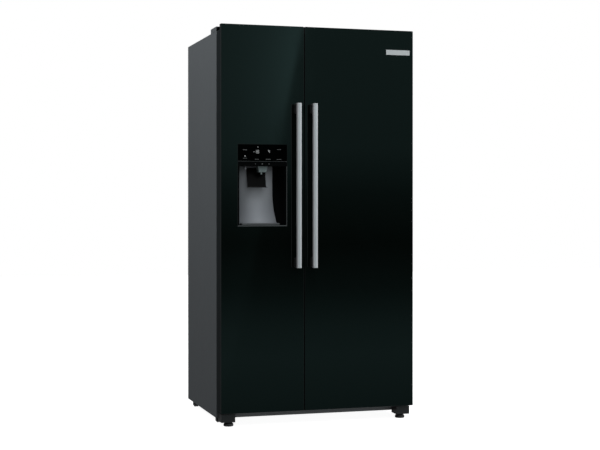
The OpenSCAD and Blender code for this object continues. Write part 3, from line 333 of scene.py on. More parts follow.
def finished(bm, name, finish, body=None, stands=(), angle=32, recalc=True):
    # turns a bmesh into a piece that rides on its body
    if recalc:
        bmesh.ops.recalc_face_normals(bm, faces=bm.faces)
    mesh = bpy.data.meshes.new(name)
    bm.to_mesh(mesh)
    bm.free()
    mesh.shade_smooth()
    mesh.set_sharp_from_angle(angle=math.radians(angle))
    for one in ([finish] if isinstance(finish, str) else finish):
        mesh.materials.append(finishes[one])
    piece = bpy.data.objects.new(name, mesh)
    bpy.context.scene.collection.objects.link(piece)
    weighted = piece.modifiers.new("normals", "WEIGHTED_NORMAL")
    weighted.mode, weighted.weight, weighted.keep_sharp = "FACE_AREA", 100, True
    stands = [stands] if isinstance(stands, str) else list(stands)
    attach(piece, body or bodyOf[stands[0]])
    if stands:
        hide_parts(*stands)
    return piece


def refined(node, name, width, steps=2, finish=None, degrees=35, test=None):
    # a CAD node with its sharp edges broken, in its own finish
    bm = nodeShape(node)
    edges = sharpEdges(bm, degrees)
    if test:
        edges = [e for e in edges if test(e.verts[0].co, e.verts[1].co)]
    bevel(bm, edges, width, steps)
    return finished(bm, name, finish or slotFinish[slotOf[node]], stands=node)


def onBox(node, count=2):
    # true for edges that run along the outer edges of a node's own box
    low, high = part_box(node)

    def test(a, b):
        faces = 0
        for i in range(3):
            if any(abs(a[i] - c) < 2 * slack and abs(b[i] - c) < 2 * slack for c in (low[i], high[i])):
                faces += 1
        return faces >= count
    return test


stageLook = {
    "floorHalf": 12.0, "floorGlow": 0.93,
    "eye": (-1.760, -5.8775, 0.983), "turn": -16.75, "lens": 77.4, "shift": -0.0325,
}


def makeStage():
    bm = bmesh.new()
    bmesh.ops.create_grid(bm, x_segments=1, y_segments=1, size=stageLook["floorHalf"])
    mesh = bpy.data.meshes.new("floor")
    bm.to_mesh(mesh)
    bm.free()
    net = Net(bpy.data.materials.new("paleFloor"))
    soft = net.noise(2.5, 2.0)
    tone = net.blend(soft, (0.5, 0.5, 0.5, 1), (0.54, 0.54, 0.54, 1))
    shader = net.node("ShaderNodeBsdfPrincipled", None, {
        "Base Color": tone, "Roughness": 0.9, "Specular IOR Level": 0.0,
        "Emission Color": (1, 1, 1, 1), "Emission Strength": stageLook["floorGlow"]})
    net.node("ShaderNodeOutputMaterial", None, {"Surface": shader})
    mesh.materials.append(net.owner)
    floor = bpy.data.objects.new("floor", mesh)
    bpy.context.scene.collection.objects.link(floor)
    floor.visible_glossy = False
    floor.visible_diffuse = False

    lens = bpy.data.cameras.new("camera")
    lens.sensor_width, lens.lens, lens.shift_y = 36, stageLook["lens"], stageLook["shift"]
    lens.clip_start, lens.clip_end = 0.1, 100
    camera = bpy.data.objects.new("camera", lens)
    camera.location = stageLook["eye"]
    camera.rotation_euler = (math.radians(90), 0, math.radians(stageLook["turn"]))
    bpy.context.scene.collection.objects.link(camera)
    bpy.context.scene.camera = camera


makeStage()

roomLook = {
    "tint": (0.52, 0.98, 0.96, 1),
    "edge": [(-0.0759, 1.7719), (-0.1833, 1.258), (-0.3675, 0.4314)],    # across and up the door plane
    "halving": 0.115, "least": 0.03,
    "levels": [(0.0, 0.11), (0.06, 0.15), (0.17, 0.195), (0.24, 0.16), (0.335, 0.058), (0.45, 0.008),
               (0.575, 0.056), (0.69, 0.16), (0.85, 0.175), (1.0, 0.185)],
    "glow": 0.44,
}


def makeRoom():
    # white for the eye, soft light for matt surfaces, and a dim studio with two bright sides for gloss
    world = bpy.data.worlds.new("studio")
    bpy.context.scene.world = world
    net = Net(world)
    direction = net.node("ShaderNodeTexCoord", output="Generated")
    x, y, z = net.axes(direction)
    eye = stageLook["eye"]
    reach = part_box("fridge_door_glass")[0].y - eye[1]
    ahead = net.maths("MAXIMUM", 0 - y, 0.001)
    across = x / ahead * reach + eye[0]     # where a mirrored ray would cross the door plane
    height = z / ahead * reach + eye[2]
    levels = net.node("ShaderNodeValToRGB", {"stops": roomLook["levels"]}, {"Fac": height / 1.8})
    # a large soft panel whose slanting edge shows in the left door
    (x0, z0), (x1, z1), (x2, z2) = roomLook["edge"]
    upper = (x0 - across) + (height - z0) * ((x1 - x0) / (z1 - z0))
    lower = (x1 - across) + (height - z1) * ((x2 - x1) / (z2 - z1))
    beside = net.maths("MINIMUM", upper, lower)
    edge = net.smooth(beside, -0.004, 0.012)
    rest = roomLook["least"]
    near = net.maths("POWER", 0.5, net.maths("MAXIMUM", beside, 0.0) / roomLook["halving"]) * (1 - rest) + rest
    fade = net.smooth(height, 0.82, 1.75) * 0.92 + 0.08
    low = net.smooth(height, 0.1, 0.5)
    panel = edge * near * fade * low * roomLook["glow"]
    inside = levels + panel
    # outside the doors' own reflections the studio is bright, more so on the right
    azimuth = net.maths("ARCTAN2", x, 0 - y)
    sides = net.smooth(azimuth, -1.2, 1.1) * 1.15 + 0.26
    ceiling = net.smooth(z, -0.25, 0.75) * 0.75 + 0.4
    open = sides * ceiling
    away = net.maths("MAXIMUM", net.smooth(across, 0.52, 1.5), net.smooth(0 - across, 0.6, 1.6))
    away = net.maths("MAXIMUM", away, net.smooth(height, 2.0, 3.4))
    away = net.maths("MAXIMUM", away, net.smooth(0 - height, 0.1, 1.2))
    away = net.maths("MAXIMUM", away, y > -0.05)
    gloss = inside * (1 - away) + open * away
    matt = (net.smooth(z, -0.7, 0.9) * 0.75 + 0.2) * (net.smooth(x, -0.9, 0.1) * 0.74 + 0.26)
    path = net.node("ShaderNodeLightPath")
    outputs = path.socket.node.outputs
    seen, shiny = Signal(net, outputs["Is Camera Ray"]), Signal(net, outputs["Is Glossy Ray"])
    tinted = net.node("ShaderNodeBackground", None, {
        "Color": net.blend(away, roomLook["tint"], (0.96, 0.98, 1.0, 1)), "Strength": gloss})
    plain = net.node("ShaderNodeBackground", None, {"Color": (0.97, 0.985, 1.0, 1), "Strength": matt})
    white = net.node("ShaderNodeBackground", None, {"Color": (1, 1, 1, 1), "Strength": 1.0})
    mixed = net.node("ShaderNodeMixShader", None, {0: shiny, 1: plain, 2: tinted})
    shown = net.node("ShaderNodeMixShader", None, {0: seen, 1: mixed, 2: white})
    net.node("ShaderNodeOutputWorld", None, {"Surface": shown})
    bpy.context.scene.view_settings.view_transform = "Standard"


makeRoom()

lamps = {
    # name: place, target, size, power
    "leftSoftbox": ((-2.1, -0.1, 2.8), (-0.4, 0.1, 1.4), 1.2, 46),
    "topSoftbox": ((0.4, -1.6, 3.8), (0.0, -0.3, 1.0), 1.8, 40),
    "rightSoftbox": ((3.0, -1.6, 2.2), (0.3, -0.2, 1.0), 1.4, 26),
    "backSoftbox": ((0.8, 3.4, 2.6), (0.0, 0.4, 1.0), 1.8, 45),
}
for name, (place, target, size, power) in lamps.items():
    light = bpy.data.lights.new(name, "AREA")
    light.size, light.energy = size, power
    lamp = bpy.data.objects.new(name, light)
    lamp.location = place
    lamp.rotation_euler = (Vector(target) - Vector(place)).to_track_quat("-Z", "Y").to_euler()
    bpy.context.scene.collection.objects.link(lamp)
    lamp.visible_glossy = False
    lamp.visible_camera = False
print("stage, camera and light made")


cabinetLook = {"corner": 0.003, "trim": 0.0007, "ribs": 5, "rows": 3, "ribDepth": 0.0008,
               "border": 0.024, "field": 0.016}


def makeCabinet():
    refined("outer_shell", "cabinetWrapper", cabinetLook["corner"], 4, test=onBox("outer_shell"))
    refined("base_plate", "basePan", cabinetLook["trim"], 2)
    refined("centre_rail", "centreRail", 0.0005, 2)
    refined("compressor_cover", "machineCover", 0.0004, 1)
    refined("cord_gland", "cordGland", 0.0006, 2)
    refined("water_valve", "waterValve", 0.0012, 3)
    # stamped back sheet: a sunk border that takes the screws, and panels pressed in between flat bands
    low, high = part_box("rear_panel")
    bm = bmesh.new()
    block(bm, low, high)
    border = cabinetLook["border"]
    ribs, bands = cabinetLook["ribs"], cabinetLook["rows"]
    cols = [low.x + border + i * (high.x - low.x - 2 * border) / ribs for i in range(ribs + 1)]
    rows = [low.z + border + i * (high.z - low.z - 2 * border) / bands for i in range(bands + 1)]
    for x in cols:
        cutAcross(bm, (x, 0, 0), (1, 0, 0))
    for z in rows:
        cutAcross(bm, (0, 0, z), (0, 0, 1))
    fields = []
    for face in bm.faces:
        middle = face.calc_center_median()
        if face.normal.y > 0.9 and cols[0] < middle.x < cols[-1] and rows[0] < middle.z < rows[-1]:
            fields.append(face)
    pushIn(bm, fields, cabinetLook["field"], cabinetLook["ribDepth"])
    bevel(bm, [e for e in sharpEdges(bm) if min(v.co.y for v in e.verts) > high.y - 0.00085
               and alongField(e, cols, rows)], 0.0006, 2)
    finished(bm, "rearPanel", "backSheet", stands="rear_panel")
    makeBackScrews(low, high)


def alongField(edge, cols, rows):
    middle = (edge.verts[0].co + edge.verts[1].co) / 2
    return cols[0] + 0.001 < middle.x < cols[-1] - 0.001 and rows[0] + 0.001 < middle.z < rows[-1] - 0.001


screwLook = {"head": 0.0042, "height": 0.0007, "inset": 0.012, "across": 7, "down": 9}


def screwHead(bm, centre, out):
    # a low domed head
    radius, height = screwLook["head"], screwLook["height"]
    outline = [(0, height), (radius * 0.55, height), (radius * 0.85, height * 0.75),
               (radius, height * 0.2), (radius, -height * 0.5)]
    spun(bm, outline, centre, out, 20)


def makeBackScrews(low, high):
    bm = bmesh.new()
    y = high.y - screwLook["height"]
    inset, across, down = screwLook["inset"], screwLook["across"], screwLook["down"]
    xs = [low.x + inset + i * (high.x - low.x - 2 * inset) / (across - 1) for i in range(across)]
    zs = [low.z + inset + i * (high.z - low.z - 2 * inset) / (down - 1) for i in range(down)]
    places = [(x, z) for x in xs for z in (zs[0], zs[-1])]
    places += [(x, z) for z in zs[1:-1] for x in (xs[0], xs[-1])]
    for x, z in places:
        screwHead(bm, (x, y, z), (0, 1, 0))
    finished(bm, "backScrews", "brightSteel", body="cabinet")


makeCabinet()

coverLook = {"round": 0.0034, "steps": 4}


def makeHinges():
    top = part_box("hinge_covers")[1].z

    def onTop(a, b):
        return max(a.z, b.z) > top - slack
    refined("hinge_covers", "hingeCovers", coverLook["round"], coverLook["steps"], test=onTop)
    refined("hinge_brackets", "hingeBrackets", 0.0007, 2)
    refined("hinge_screws", "hingeScrews", 0.0006, 2)
    refined("freezer_door_bushes", "freezerBushes", 0.0005, 2)
    refined("fridge_door_bushes", "fridgeBushes", 0.0005, 2)


makeHinges()

footLook = {"turns": 14, "grips": 24, "rod": 0.005, "collar": 0.0109}


def makeFoot(node, name):
    low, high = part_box(node)
    x, y = (low.x + high.x) / 2, (low.y + high.y) / 2
    r = (high.x - low.x) / 2
    bm = bmesh.new()
    spun(bm, [(0, 0), (r - 0.003, 0), (r - 0.0012, 0.0008), (r, 0.0026), (r, 0.0095), (r - 0.0008, 0.0118),
              (r - 0.003, 0.0135), (r - 0.006, 0.0142), (r - 0.0075, 0.0168), (0.0118, 0.0172), (0, 0.0172)],
         (x, y, 0), (0, 0, 1), 56)
    for i in range(footLook["grips"]):     # grip ribs round the disc
        turn = i * math.tau / footLook["grips"]
        spot = Vector((x + math.cos(turn) * (r - 0.0014), y + math.sin(turn) * (r - 0.0014), 0.0062))
        size = Matrix.Diagonal((0.0022, 0.0016, 0.006, 1))
        place = Matrix.Translation(spot) @ Matrix.Rotation(turn, 4, "Z") @ size
        bmesh.ops.create_cube(bm, size=1, matrix=place)
    finished(bm, name + "Pad", "darkPlastic", stands=node)
    # hexagon collar and threaded rod
    bm = bmesh.new()
    collar, rod = footLook["collar"], footLook["rod"]
    made = bmesh.ops.create_cone(bm, cap_ends=True, segments=6, radius1=collar, radius2=collar, depth=0.0088,
                                 matrix=Matrix.Translation((x, y, 0.0215)))["verts"]
    bevel(bm, edgesOf(made), 0.0007, 2)
    outline = [(0.0, 0.0258), (0.0045, 0.0258)]
    turns = footLook["turns"]
    pitch = (high.z - 0.0012 - 0.0262) / turns
    for i in range(turns):
        outline += [(rod - 0.0007, 0.0262 + i * pitch), (rod, 0.0262 + (i + 0.5) * pitch)]
    outline += [(rod - 0.0007, high.z - 0.001), (rod - 0.0018, high.z), (0, high.z)]
    spun(bm, outline, (x, y, 0), (0, 0, 1), 28)
    finished(bm, name + "Screw", "brightSteel", body=bodyOf[node])


def makeRoller(node, name):
    low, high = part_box(node)
    y, z, r = (low.y + high.y) / 2, (low.z + high.z) / 2, (high.z - low.z) / 2
    x0, x1 = low.x, high.x
    w = x1 - x0
    bore = 0.00305
    half = [(bore, 0.0), (0.0062, 0.0), (0.0066, 0.0009), (0.0068, 0.0026), (r - 0.0034, 0.0026),
            (r - 0.003, 0.0007), (r - 0.0024, 0.0), (r - 0.0008, 0.0003), (r, 0.0014),
            (r, w * 0.4 - 0.0006), (r - 0.001, w * 0.4)]
    # the other half mirrors it, and the bore closes the loop
    outline = half + [(a, w - b) for a, b in reversed(half)] + [half[0]]
    bm = bmesh.new()
    spun(bm, outline, (x0, y, z), (1, 0, 0), 44)
    finished(bm, name, "darkPlastic", stands=node)


for side in ("left", "right"):
    makeFoot("foot_" + side, side + "Foot")
    makeRoller("roller_front_" + side, side + "FrontRoller")
    makeRoller("roller_rear_" + side, side + "RearRoller")
refined("roller_brackets", "rollerBrackets", 0.0004, 1)
print("cabinet, hinges and feet made")


linerLook = {"wall": 0.002, "corner": 0.013, "ledgeDeep": 0.005, "ledgeWide": 0.008, "ledgeRound": 0.0018}
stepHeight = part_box("duct_covers")[0].z
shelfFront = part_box("fridge_shelves")[0].y


def makeLiner(node, name, drawer, shelfNode, extra):
    low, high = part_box(node)
    wall = linerLook["wall"]
    x0, x1, y0, back = low.x + wall, high.x - wall, low.y, high.y - wall
    z0, z1 = low.z + wall, high.z - wall
    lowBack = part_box(drawer)[1].y + 0.006
    outline = [(y0, z0), (lowBack, z0), (lowBack, stepHeight), (back, stepHeight), (back, z1), (y0, z1)]
    bm = bmesh.new()
    face = bm.faces.new([bm.verts.new((x0, y, z)) for y, z in outline])
    grown = bmesh.ops.extrude_face_region(bm, geom=[face])["geom"]
    bmesh.ops.translate(bm, verts=[g for g in grown if isinstance(g, bmesh.types.BMVert)], vec=(x1 - x0, 0, 0))
    if not any(abs(f.normal.x) > 0.9 and abs(f.calc_center_median().x - x0) < tiny for f in bm.faces):
        bm.faces.new([v for v in bm.verts if abs(v.co.x - x0) < tiny])
    bmesh.ops.recalc_face_normals(bm, faces=bm.faces)
    front = [f for f in bm.faces if all(abs(v.co.y - y0) < tiny for v in f.verts)]
    bmesh.ops.delete(bm, geom=front, context="FACES_ONLY")
    bmesh.ops.reverse_faces(bm, faces=bm.faces)
    bevel(bm, [e for e in bm.edges if len(e.link_faces) == 2], linerLook["corner"], 5)
    liner = finished(bm, name, "whiteLiner", stands=node, recalc=False, angle=40)
    wallMod = liner.modifiers.new("wall", "SOLIDIFY")
    wallMod.thickness, wallMod.offset = wall - 0.0002, -1
    # ledges under each shelf
    bm = bmesh.new()
    for z, backEnd in ledgeHeights(shelfNode, extra):
        for a, b in ((x0 - 0.001, x0 + linerLook["ledgeWide"]), (x1 - linerLook["ledgeWide"], x1 + 0.001)):
            verts = block(bm, (a, shelfFront, z - linerLook["ledgeDeep"]), (b, backEnd, z))
            bevel(bm, edgesOf(verts), linerLook["ledgeRound"], 3)
    finished(bm, name + "Ledges", "whiteLiner", body="cabinet")
    return x0, x1, z1


def ledgeHeights(shelfNode, extra):
    # heights of the shelves' undersides, from the CAD shelves themselves
    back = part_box(shelfNode)[1].y
    return [(z, back) for z in shelfLevels(shelfNode)] + extra


def shelfLevels(shelfNode):
    # the wide undersides of the glass panes
    found = set()
    mesh = nodes[shelfNode].data
    for poly in mesh.polygons:
        if poly.normal.z > 0.9:
            found.add(round(poly.center.z - 0.005, 5))
    top = sorted(found)
    return [z for z in top if any(abs(v.co.z - z) < 2 * slack for v in mesh.vertices)]


freezerSpan = makeLiner("freezer_liner", "freezerLiner", "freezer_drawer", "freezer_shelves",
                        [(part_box("ice_bin")[0].z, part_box("freezer_shelves")[1].y)])
fridgeSpan = makeLiner("fridge_liner", "fridgeLiner", "crisper_lower", "fridge_shelves",
                       [(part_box("crisper_upper")[0].z - 0.0003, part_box("fridge_shelves")[1].y)])

shelfLook = {"pane": 0.005, "lip": 0.0015, "trimDepth": 0.012, "ledge": 0.009, "rear": 0.008}


def makeShelves(node, name):
    low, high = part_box(node)
    x0, x1, y0, y1 = low.x, high.x, low.y, high.y
    panes, edges, trims = bmesh.new(), bmesh.new(), bmesh.new()
    for z in shelfLevels(node):
        top = z + shelfLook["pane"]
        roundBlock(panes, (x0 + 0.0005, y0 + 0.004, z + 0.0001), (x1 - 0.0005, y1 - 0.001, top),
                   0.002, 2, 0.0006, 2)
        # green edge band that shows in thick glass
        for a, b in ((x0 + 0.0006, x0 + 0.0022), (x1 - 0.0022, x1 - 0.0006)):
            roundBlock(edges, (a, y0 + 0.012, z + 0.0006), (b, y1 - 0.0085, top - 0.0005), 0.0004, 1, 0.0003, 1)
        front = y0 + shelfLook["trimDepth"]
        roundBlock(trims, (x0, y0, z - 0.0002), (x1, front, top + shelfLook["lip"]), 0.0022, 0, 0.001, 3)
        roundBlock(trims, (x0 + shelfLook["ledge"], y0 + 0.0004, z - 0.005),
                   (x1 - shelfLook["ledge"], front - 0.002, z + 0.001), 0.0016, 0, 0.001, 2)
        roundBlock(trims, (x0, y1 - shelfLook["rear"], z - 0.0002), (x1, y1, top + shelfLook["lip"]),
                   0.0018, 0, 0.001, 3)
    finished(panes, name + "Panes", "shelfGlass", stands=node)
    finished(edges, name + "PaneEdges", "glassEdge", body="cabinet")
    finished(trims, name + "Trims", "whiteLiner", body="cabinet")


makeShelves("freezer_shelves", "freezerShelf")
makeShelves("fridge_shelves", "fridgeShelf")

trayLook = {"wall": 0.0028, "corner": 0.012, "foot": 0.006, "rim": 0.0022,
            "front": 0.010, "end": 0.012, "bead": 0.004, "plate": 0.05, "pull": 0.034, "pullIn": 0.014}


def tray(bm, low, high, corner, wall, foot=0.005):
    # an open box with rounded corners, a soft bottom edge and a full wall
    count = len(bm.verts)
    verts = block(bm, low, high)
    bevel(bm, edgesOf(verts, alongAxis(2)), corner, 5)
    bm.verts.ensure_lookup_table()
    made = list(bm.verts)[count:]
    base = [e for e in edgesOf(made) if all(abs(v.co.z - low[2]) < tiny for v in e.verts)]
    bevel(bm, base, foot, 3)
    lid = [f for f in bm.faces if f.normal.z > 0.9 and all(abs(v.co.z - high[2]) < tiny for v in f.verts)
           and all(low[i] - tiny <= v.co[i] <= high[i] + tiny for v in f.verts for i in (0, 1))]
    bmesh.ops.inset_region(bm, faces=lid, thickness=wall, depth=0)
    floor = bmesh.ops.extrude_discrete_faces(bm, faces=lid)["faces"]
    for face in floor:
        bmesh.ops.translate(bm, verts=face.verts, vec=(0, 0, low[2] + wall - high[2]))
        bevel(bm, face.edges, foot * 0.7, 3)


def makeDrawer(node, name):
    low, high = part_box(node)
    body = bodyOf[node]
    front, end, bead = low.y + trayLook["front"], trayLook["end"], high.z - trayLook["bead"]
    bm = bmesh.new()
    tray(bm, (low.x, front, low.z), (high.x, high.y, high.z),
         trayLook["corner"], trayLook["wall"], trayLook["foot"])
    finished(bm, name + "Box", "clearPlastic", stands=node)
    # rim bead and the pull along the front
    bm = bmesh.new()
    rim = trayLook["rim"]
    for a, b in (((low.x - 0.0004, front + end, bead), (low.x + rim, high.y - end, high.z)),
                 ((high.x - rim, front + end, bead), (high.x + 0.0004, high.y - end, high.z)),
                 ((low.x + end, high.y - rim, bead), (high.x - end, high.y, high.z))):
        verts = block(bm, a, b)
        bevel(bm, edgesOf(verts), 0.0009, 2)
    finished(bm, name + "Rim", "clearRim", body=body)
    bm = bmesh.new()
    verts = block(bm, (low.x + end, front - 0.0008, high.z - trayLook["plate"]),
                  (high.x - end, front + 0.001, high.z - 0.002))
    bevel(bm, edgesOf(verts), 0.0006, 2)
    corner = (low.x + trayLook["pullIn"], low.y, high.z - trayLook["pull"])
    right = high.x - trayLook["pullIn"]
    roundBlock(bm, corner, (right, front, high.z - 0.0305), 0.0014, 0, 0.0008, 3)
    roundBlock(bm, corner, (right, low.y + 0.0032, high.z - 0.012), 0.0013, 0, 0.0008, 3)
    finished(bm, name + "Pull", "whiteLiner", body=body)


makeDrawer("freezer_drawer", "freezerDrawer")
makeDrawer("crisper_lower", "lowerCrisper")
makeDrawer("crisper_upper", "upperCrisper")


def binLevels(node):
    # the undersides of the bins
    found = {round(p.center.z, 5) for p in nodes[node].data.polygons if p.normal.z < -0.9}
    return sorted(found)


binLook = {"corner": 0.011, "wall": 0.0026, "foot": 0.006, "height": 0.110, "band": 0.022, "end": 0.012}


def makeBins(node, name):
    low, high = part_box(node)
    body = bodyOf[node]
    clear, bands = bmesh.new(), bmesh.new()
    for z in binLevels(node):
        top = z + binLook["height"]
        tray(clear, (low.x, low.y, z), (high.x, high.y, top),
             binLook["corner"], binLook["wall"], binLook["foot"])
        # milky band round the front and sides of the rim
        y1, end = high.y, binLook["end"]
        under = top - binLook["band"]
        roundBlock(bands, (low.x + end, y1 - 0.0034, under), (high.x - end, y1 + 0.0002, top),
                   0.0012, 0, 0.0008, 2)
        for a, b in ((low.x - 0.0002, low.x + 0.0032), (high.x - 0.0032, high.x + 0.0002)):
            roundBlock(bands, (a, low.y + 0.002, under), (b, y1 - end, top), 0.0012, 1, 0.0008, 2)
    finished(clear, name + "Trays", "clearPlastic", stands=node)
    finished(bands, name + "Bands", "clearRim", body=body)


makeBins("freezer_door_bins", "freezerBin")
makeBins("fridge_door_bins", "fridgeBin")


def makeFittings():
    refined("duct_covers", "ductCovers", 0.0008, 2)
    refined("evaporator", "evaporatorCoil", 0.0003, 1)
    refined("evaporator_fan", "coldFan", 0.0004, 1)
    refined("compressor", "compressorCan", 0.0006, 2)
    refined("condenser", "condenserCoil", 0.0004, 1)
    refined("condenser_fan", "coolingFan", 0.0005, 1)
    refined("drip_pan", "dripPan", 0.0006, 2)
    refined("ice_maker", "iceMaker", 0.0015, 3)
    refined("ice_bin", "iceBin", 0.0009, 2)
    refined("ice_auger", "iceAuger", 0.0008, 2)
    for node in ("insulation", "freezer_door_core", "fridge_door_core"):
        nodes[node].data.materials.clear()
        nodes[node].data.materials.append(finishes["foam"])
    # ceiling lamps
    for name, (x0, x1, z1) in (("fridge", fridgeSpan), ("freezer", freezerSpan)):
        middle, front = (x0 + x1) / 2, shelfFront + 0.01
        bm = bmesh.new()
        roundBlock(bm, (middle - 0.085, front - 0.045, z1 - 0.0045),
                   (middle + 0.085, front + 0.06, z1 - 0.0002), 0.012, 2, 0.0016, 4)
        finished(bm, name + "LampFrame", "whiteLiner", body="cabinet")
        bm = bmesh.new()
        roundBlock(bm, (middle - 0.07, front - 0.03, z1 - 0.007),
                   (middle + 0.07, front + 0.045, z1 - 0.003), 0.009, 2, 0.0016, 4)
        finished(bm, name + "LampLens", "lampLens", body="cabinet")


makeFittings()
print("compartments made")


doorLook = {"glassEdge": 0.0011, "skinEdge": 0.0011, "dikeRound": 0.0042}
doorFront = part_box("fridge_door_glass")[0].y


def makeDoor(side):
    def atFront(a, b):
        return max(a.y, b.y) < doorFront + slack
    refined(side + "_door_glass", side + "DoorGlass", doorLook["glassEdge"], 3, test=atFront)
    refined(side + "_door_shell", side + "DoorSkin", doorLook["skinEdge"], 3, test=onBox(side + "_door_shell"))
    # lining: the raised dike is rounded, its sheet is not
    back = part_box(side + "_door_gasket")[0].y

    def beyondSheet(a, b):
        return min(a.y, b.y) > back - slack
    refined(side + "_door_liner", side + "DoorLining", doorLook["dikeRound"], 4, test=beyondSheet)
    makeGasket(side + "_door_gasket", side + "Gasket")


gasketLook = {"fold": 0.0032, "round": 0.0016}


def makeGasket(node, name):
    # folded seal: a foot, a pleat and a magnet bead round the opening
    low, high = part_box(node)
    bm = nodeShape(node)
    depth = high.y - low.y
    for share in (0.3, 0.5, 0.7):
        cutAcross(bm, (0, low.y + depth * share, 0), (0, 1, 0))
    middle = low.y + depth * 0.5
    centre = (low + high) / 2
    span = Vector(((high.x - low.x) / 2 - 0.008, 0, (high.z - low.z) / 2 - 0.008))
    for v in bm.verts:
        if abs(v.co.y - middle) < slack:
            for i in (0, 2):
                away = v.co[i] - centre[i]
                sign = 1 if away > 0 else -1
                v.co[i] += sign * gasketLook["fold"] * (1 if abs(away) < span[i] else -1)
    beads = [e for e in sharpEdges(bm, 60) if all(abs(v.co.y - high.y) < slack for v in e.verts)]
    bevel(bm, beads, gasketLook["round"], 3)
    finished(bm, name, "sealRubber", stands=node)


makeDoor("freezer")
makeDoor("fridge")

handleLook = {"crown": 0.0085, "crownSteps": 7, "end": 0.0012, "back": 0.002, "post": 0.045, "postRound": 0.003}


def makeHandle(side):
    bar, posts = side + "_handle", side + "_handle_posts"
    low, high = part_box(bar)
    bm = bmesh.new()
    verts = block(bm, low, high)

    def frontLong(a, b):
        return alongAxis(2)(a, b) and a.y < low.y + slack

    def backLong(a, b):
        return alongAxis(2)(a, b) and a.y > high.y - slack
    bevel(bm, edgesOf(verts, backLong), handleLook["back"], 3)
    fronts = [e for e in bm.edges if frontLong(e.verts[0].co, e.verts[1].co)]
    bevel(bm, fronts, handleLook["crown"], handleLook["crownSteps"])
    ends = [e for e in sharpEdges(bm, 50) if abs(e.verts[0].co.z - e.verts[1].co.z) < tiny]
    bevel(bm, ends, handleLook["end"], 2)
    finished(bm, side + "HandleBar", "handleAluminium", stands=bar)
    # posts: waisted blocks with a seat against the glass
    low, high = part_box(posts)
    length = handleLook["post"]
    bm = bmesh.new()
    for z in (low.z, high.z - length):
        roundBlock(bm, (low.x + 0.0008, low.y, z + 0.0015), (high.x - 0.0008, high.y, z + length - 0.0015),
                   handleLook["postRound"], 1, 0.0004, 4)
        roundBlock(bm, (low.x, high.y - 0.003, z), (high.x, high.y, z + length), 0.0038, 1, 0.0008, 4)
        roundBlock(bm, (low.x, low.y, z), (high.x, low.y + 0.0025, z + length), 0.0038, 1, 0.0007, 4)
    finished(bm, side + "HandlePosts", "darkPlastic", stands=posts)


makeHandle("freezer")
makeHandle("fridge")

badgeLook = {"corner": 0.002, "rim": 0.0016, "sink": 0.0003}


def makeBadge():
    low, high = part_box("badge")
    bm = bmesh.new()
    verts = block(bm, low, high)
    bevel(bm, edgesOf(verts, alongAxis(1)), badgeLook["corner"], 4)
    face = [f for f in bm.faces if f.normal.y < -0.9]
    pushIn(bm, face, badgeLook["rim"], badgeLook["sink"])
    bevel(bm, [e for e in sharpEdges(bm, 60) if max(v.co.y for v in e.verts) < high.y - 0.0008], 0.0002, 2)
    finished(bm, "badgePlate", "badgeMetal", stands="badge")


makeBadge()
print("doors made")


recessLook = {"panelWall": 0.0012, "panelLift": 0.0014, "line": 0.0011, "lip": 0.001}


def makeDispenser():
    low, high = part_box("dispenser_housing")
    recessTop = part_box("dispenser_nozzle")[1].z
    bm = nodeShape("dispenser_housing")

    def recessBack(face):
        middle = face.calc_center_median()
        return (face.normal.y < -0.25 and low.y + 0.012 < middle.y < low.y + 0.0725 and middle.z < recessTop
                and face.calc_area() > 1e-4 and abs(face.normal.x) < 0.05)
    # the grey moulding is a sheet of its own, laid on the recess's back
    sheet = bm.copy()
    others = [f for f in sheet.faces if not recessBack(f)]
    bmesh.ops.delete(sheet, geom=others, context="FACES")
    bmesh.ops.dissolve_limit(sheet, angle_limit=math.radians(0.2), verts=sheet.verts, edges=sheet.edges)
    for v in sheet.verts:
        v.co.y -= recessLook["panelLift"]
    panel = finished(sheet, "recessPanel", "recessGrey", body="freezer_door",
                     angle=50, recalc=False)
    wall = panel.modifiers.new("wall", "SOLIDIFY")
    wall.thickness, wall.offset = recessLook["panelWall"], -1
    rims = [e for e in sharpEdges(bm, 50) if max(v.co.y for v in e.verts) < low.y + slack]
    bevel(bm, rims, 0.0006, 2)
    finished(bm, "dispenserHousing", "dispenserBlack", stands="dispenser_housing")
    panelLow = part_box("dispenser_panel")[0]
    refined("dispenser_panel", "controlPanel", 0.0006, 2, finish="panelGlass")
    refined("dispenser_nozzle", "nozzle", 0.0011, 3, finish="nozzleGrey")
    refined("dispenser_paddle", "paddle", 0.0007, 2, finish="paddleBlack")
    paddleLow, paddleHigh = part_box("dispenser_paddle")
    # a lighter strip along the paddle's lower edge, painted as the highlight on its rounded lip
    bm = bmesh.new()
    lip = recessLook["lip"]
    verts = block(bm, (paddleLow.x + lip, paddleLow.y - lip * 0.4, paddleLow.z + lip * 0.4),
                  (paddleHigh.x - lip, paddleLow.y + lip, paddleLow.z + lip * 2.6))
    bevel(bm, edgesOf(verts), lip * 0.35, 3)
    finished(bm, "paddleLip", "paddleLip", body="paddle")
    refined("ice_flap", "chuteFlap", 0.0006, 2)
    refined("drip_grille", "dripGrille", 0.0005, 1, finish="grilleGrey")
    # thin lighter strips round the recess and under the panel: painted highlights along the rims
    bm = bmesh.new()
    line = recessLook["line"]
    front = low.y - 0.0002
    x0, x1, z0 = low.x, high.x, low.z
    for a, b in (((x1 - line * 1.5, front, z0), (x1 - 0.0001, front + 0.002, recessTop)),
                 ((x0, front, z0 + 0.0001), (x1, front + 0.002, z0 + line * 2.8)),
                 ((x0 + 0.001, front, panelLow.z - line * 0.5),
                  (x1 - 0.001, front + 0.002, panelLow.z + line * 0.1))):
        verts = block(bm, a, b)
        bevel(bm, edgesOf(verts), 0.0002, 2)
    finished(bm, "recessHighlightLines", "frameSilver", body="freezer_door")
    makeMarks(panelLow, recessTop)


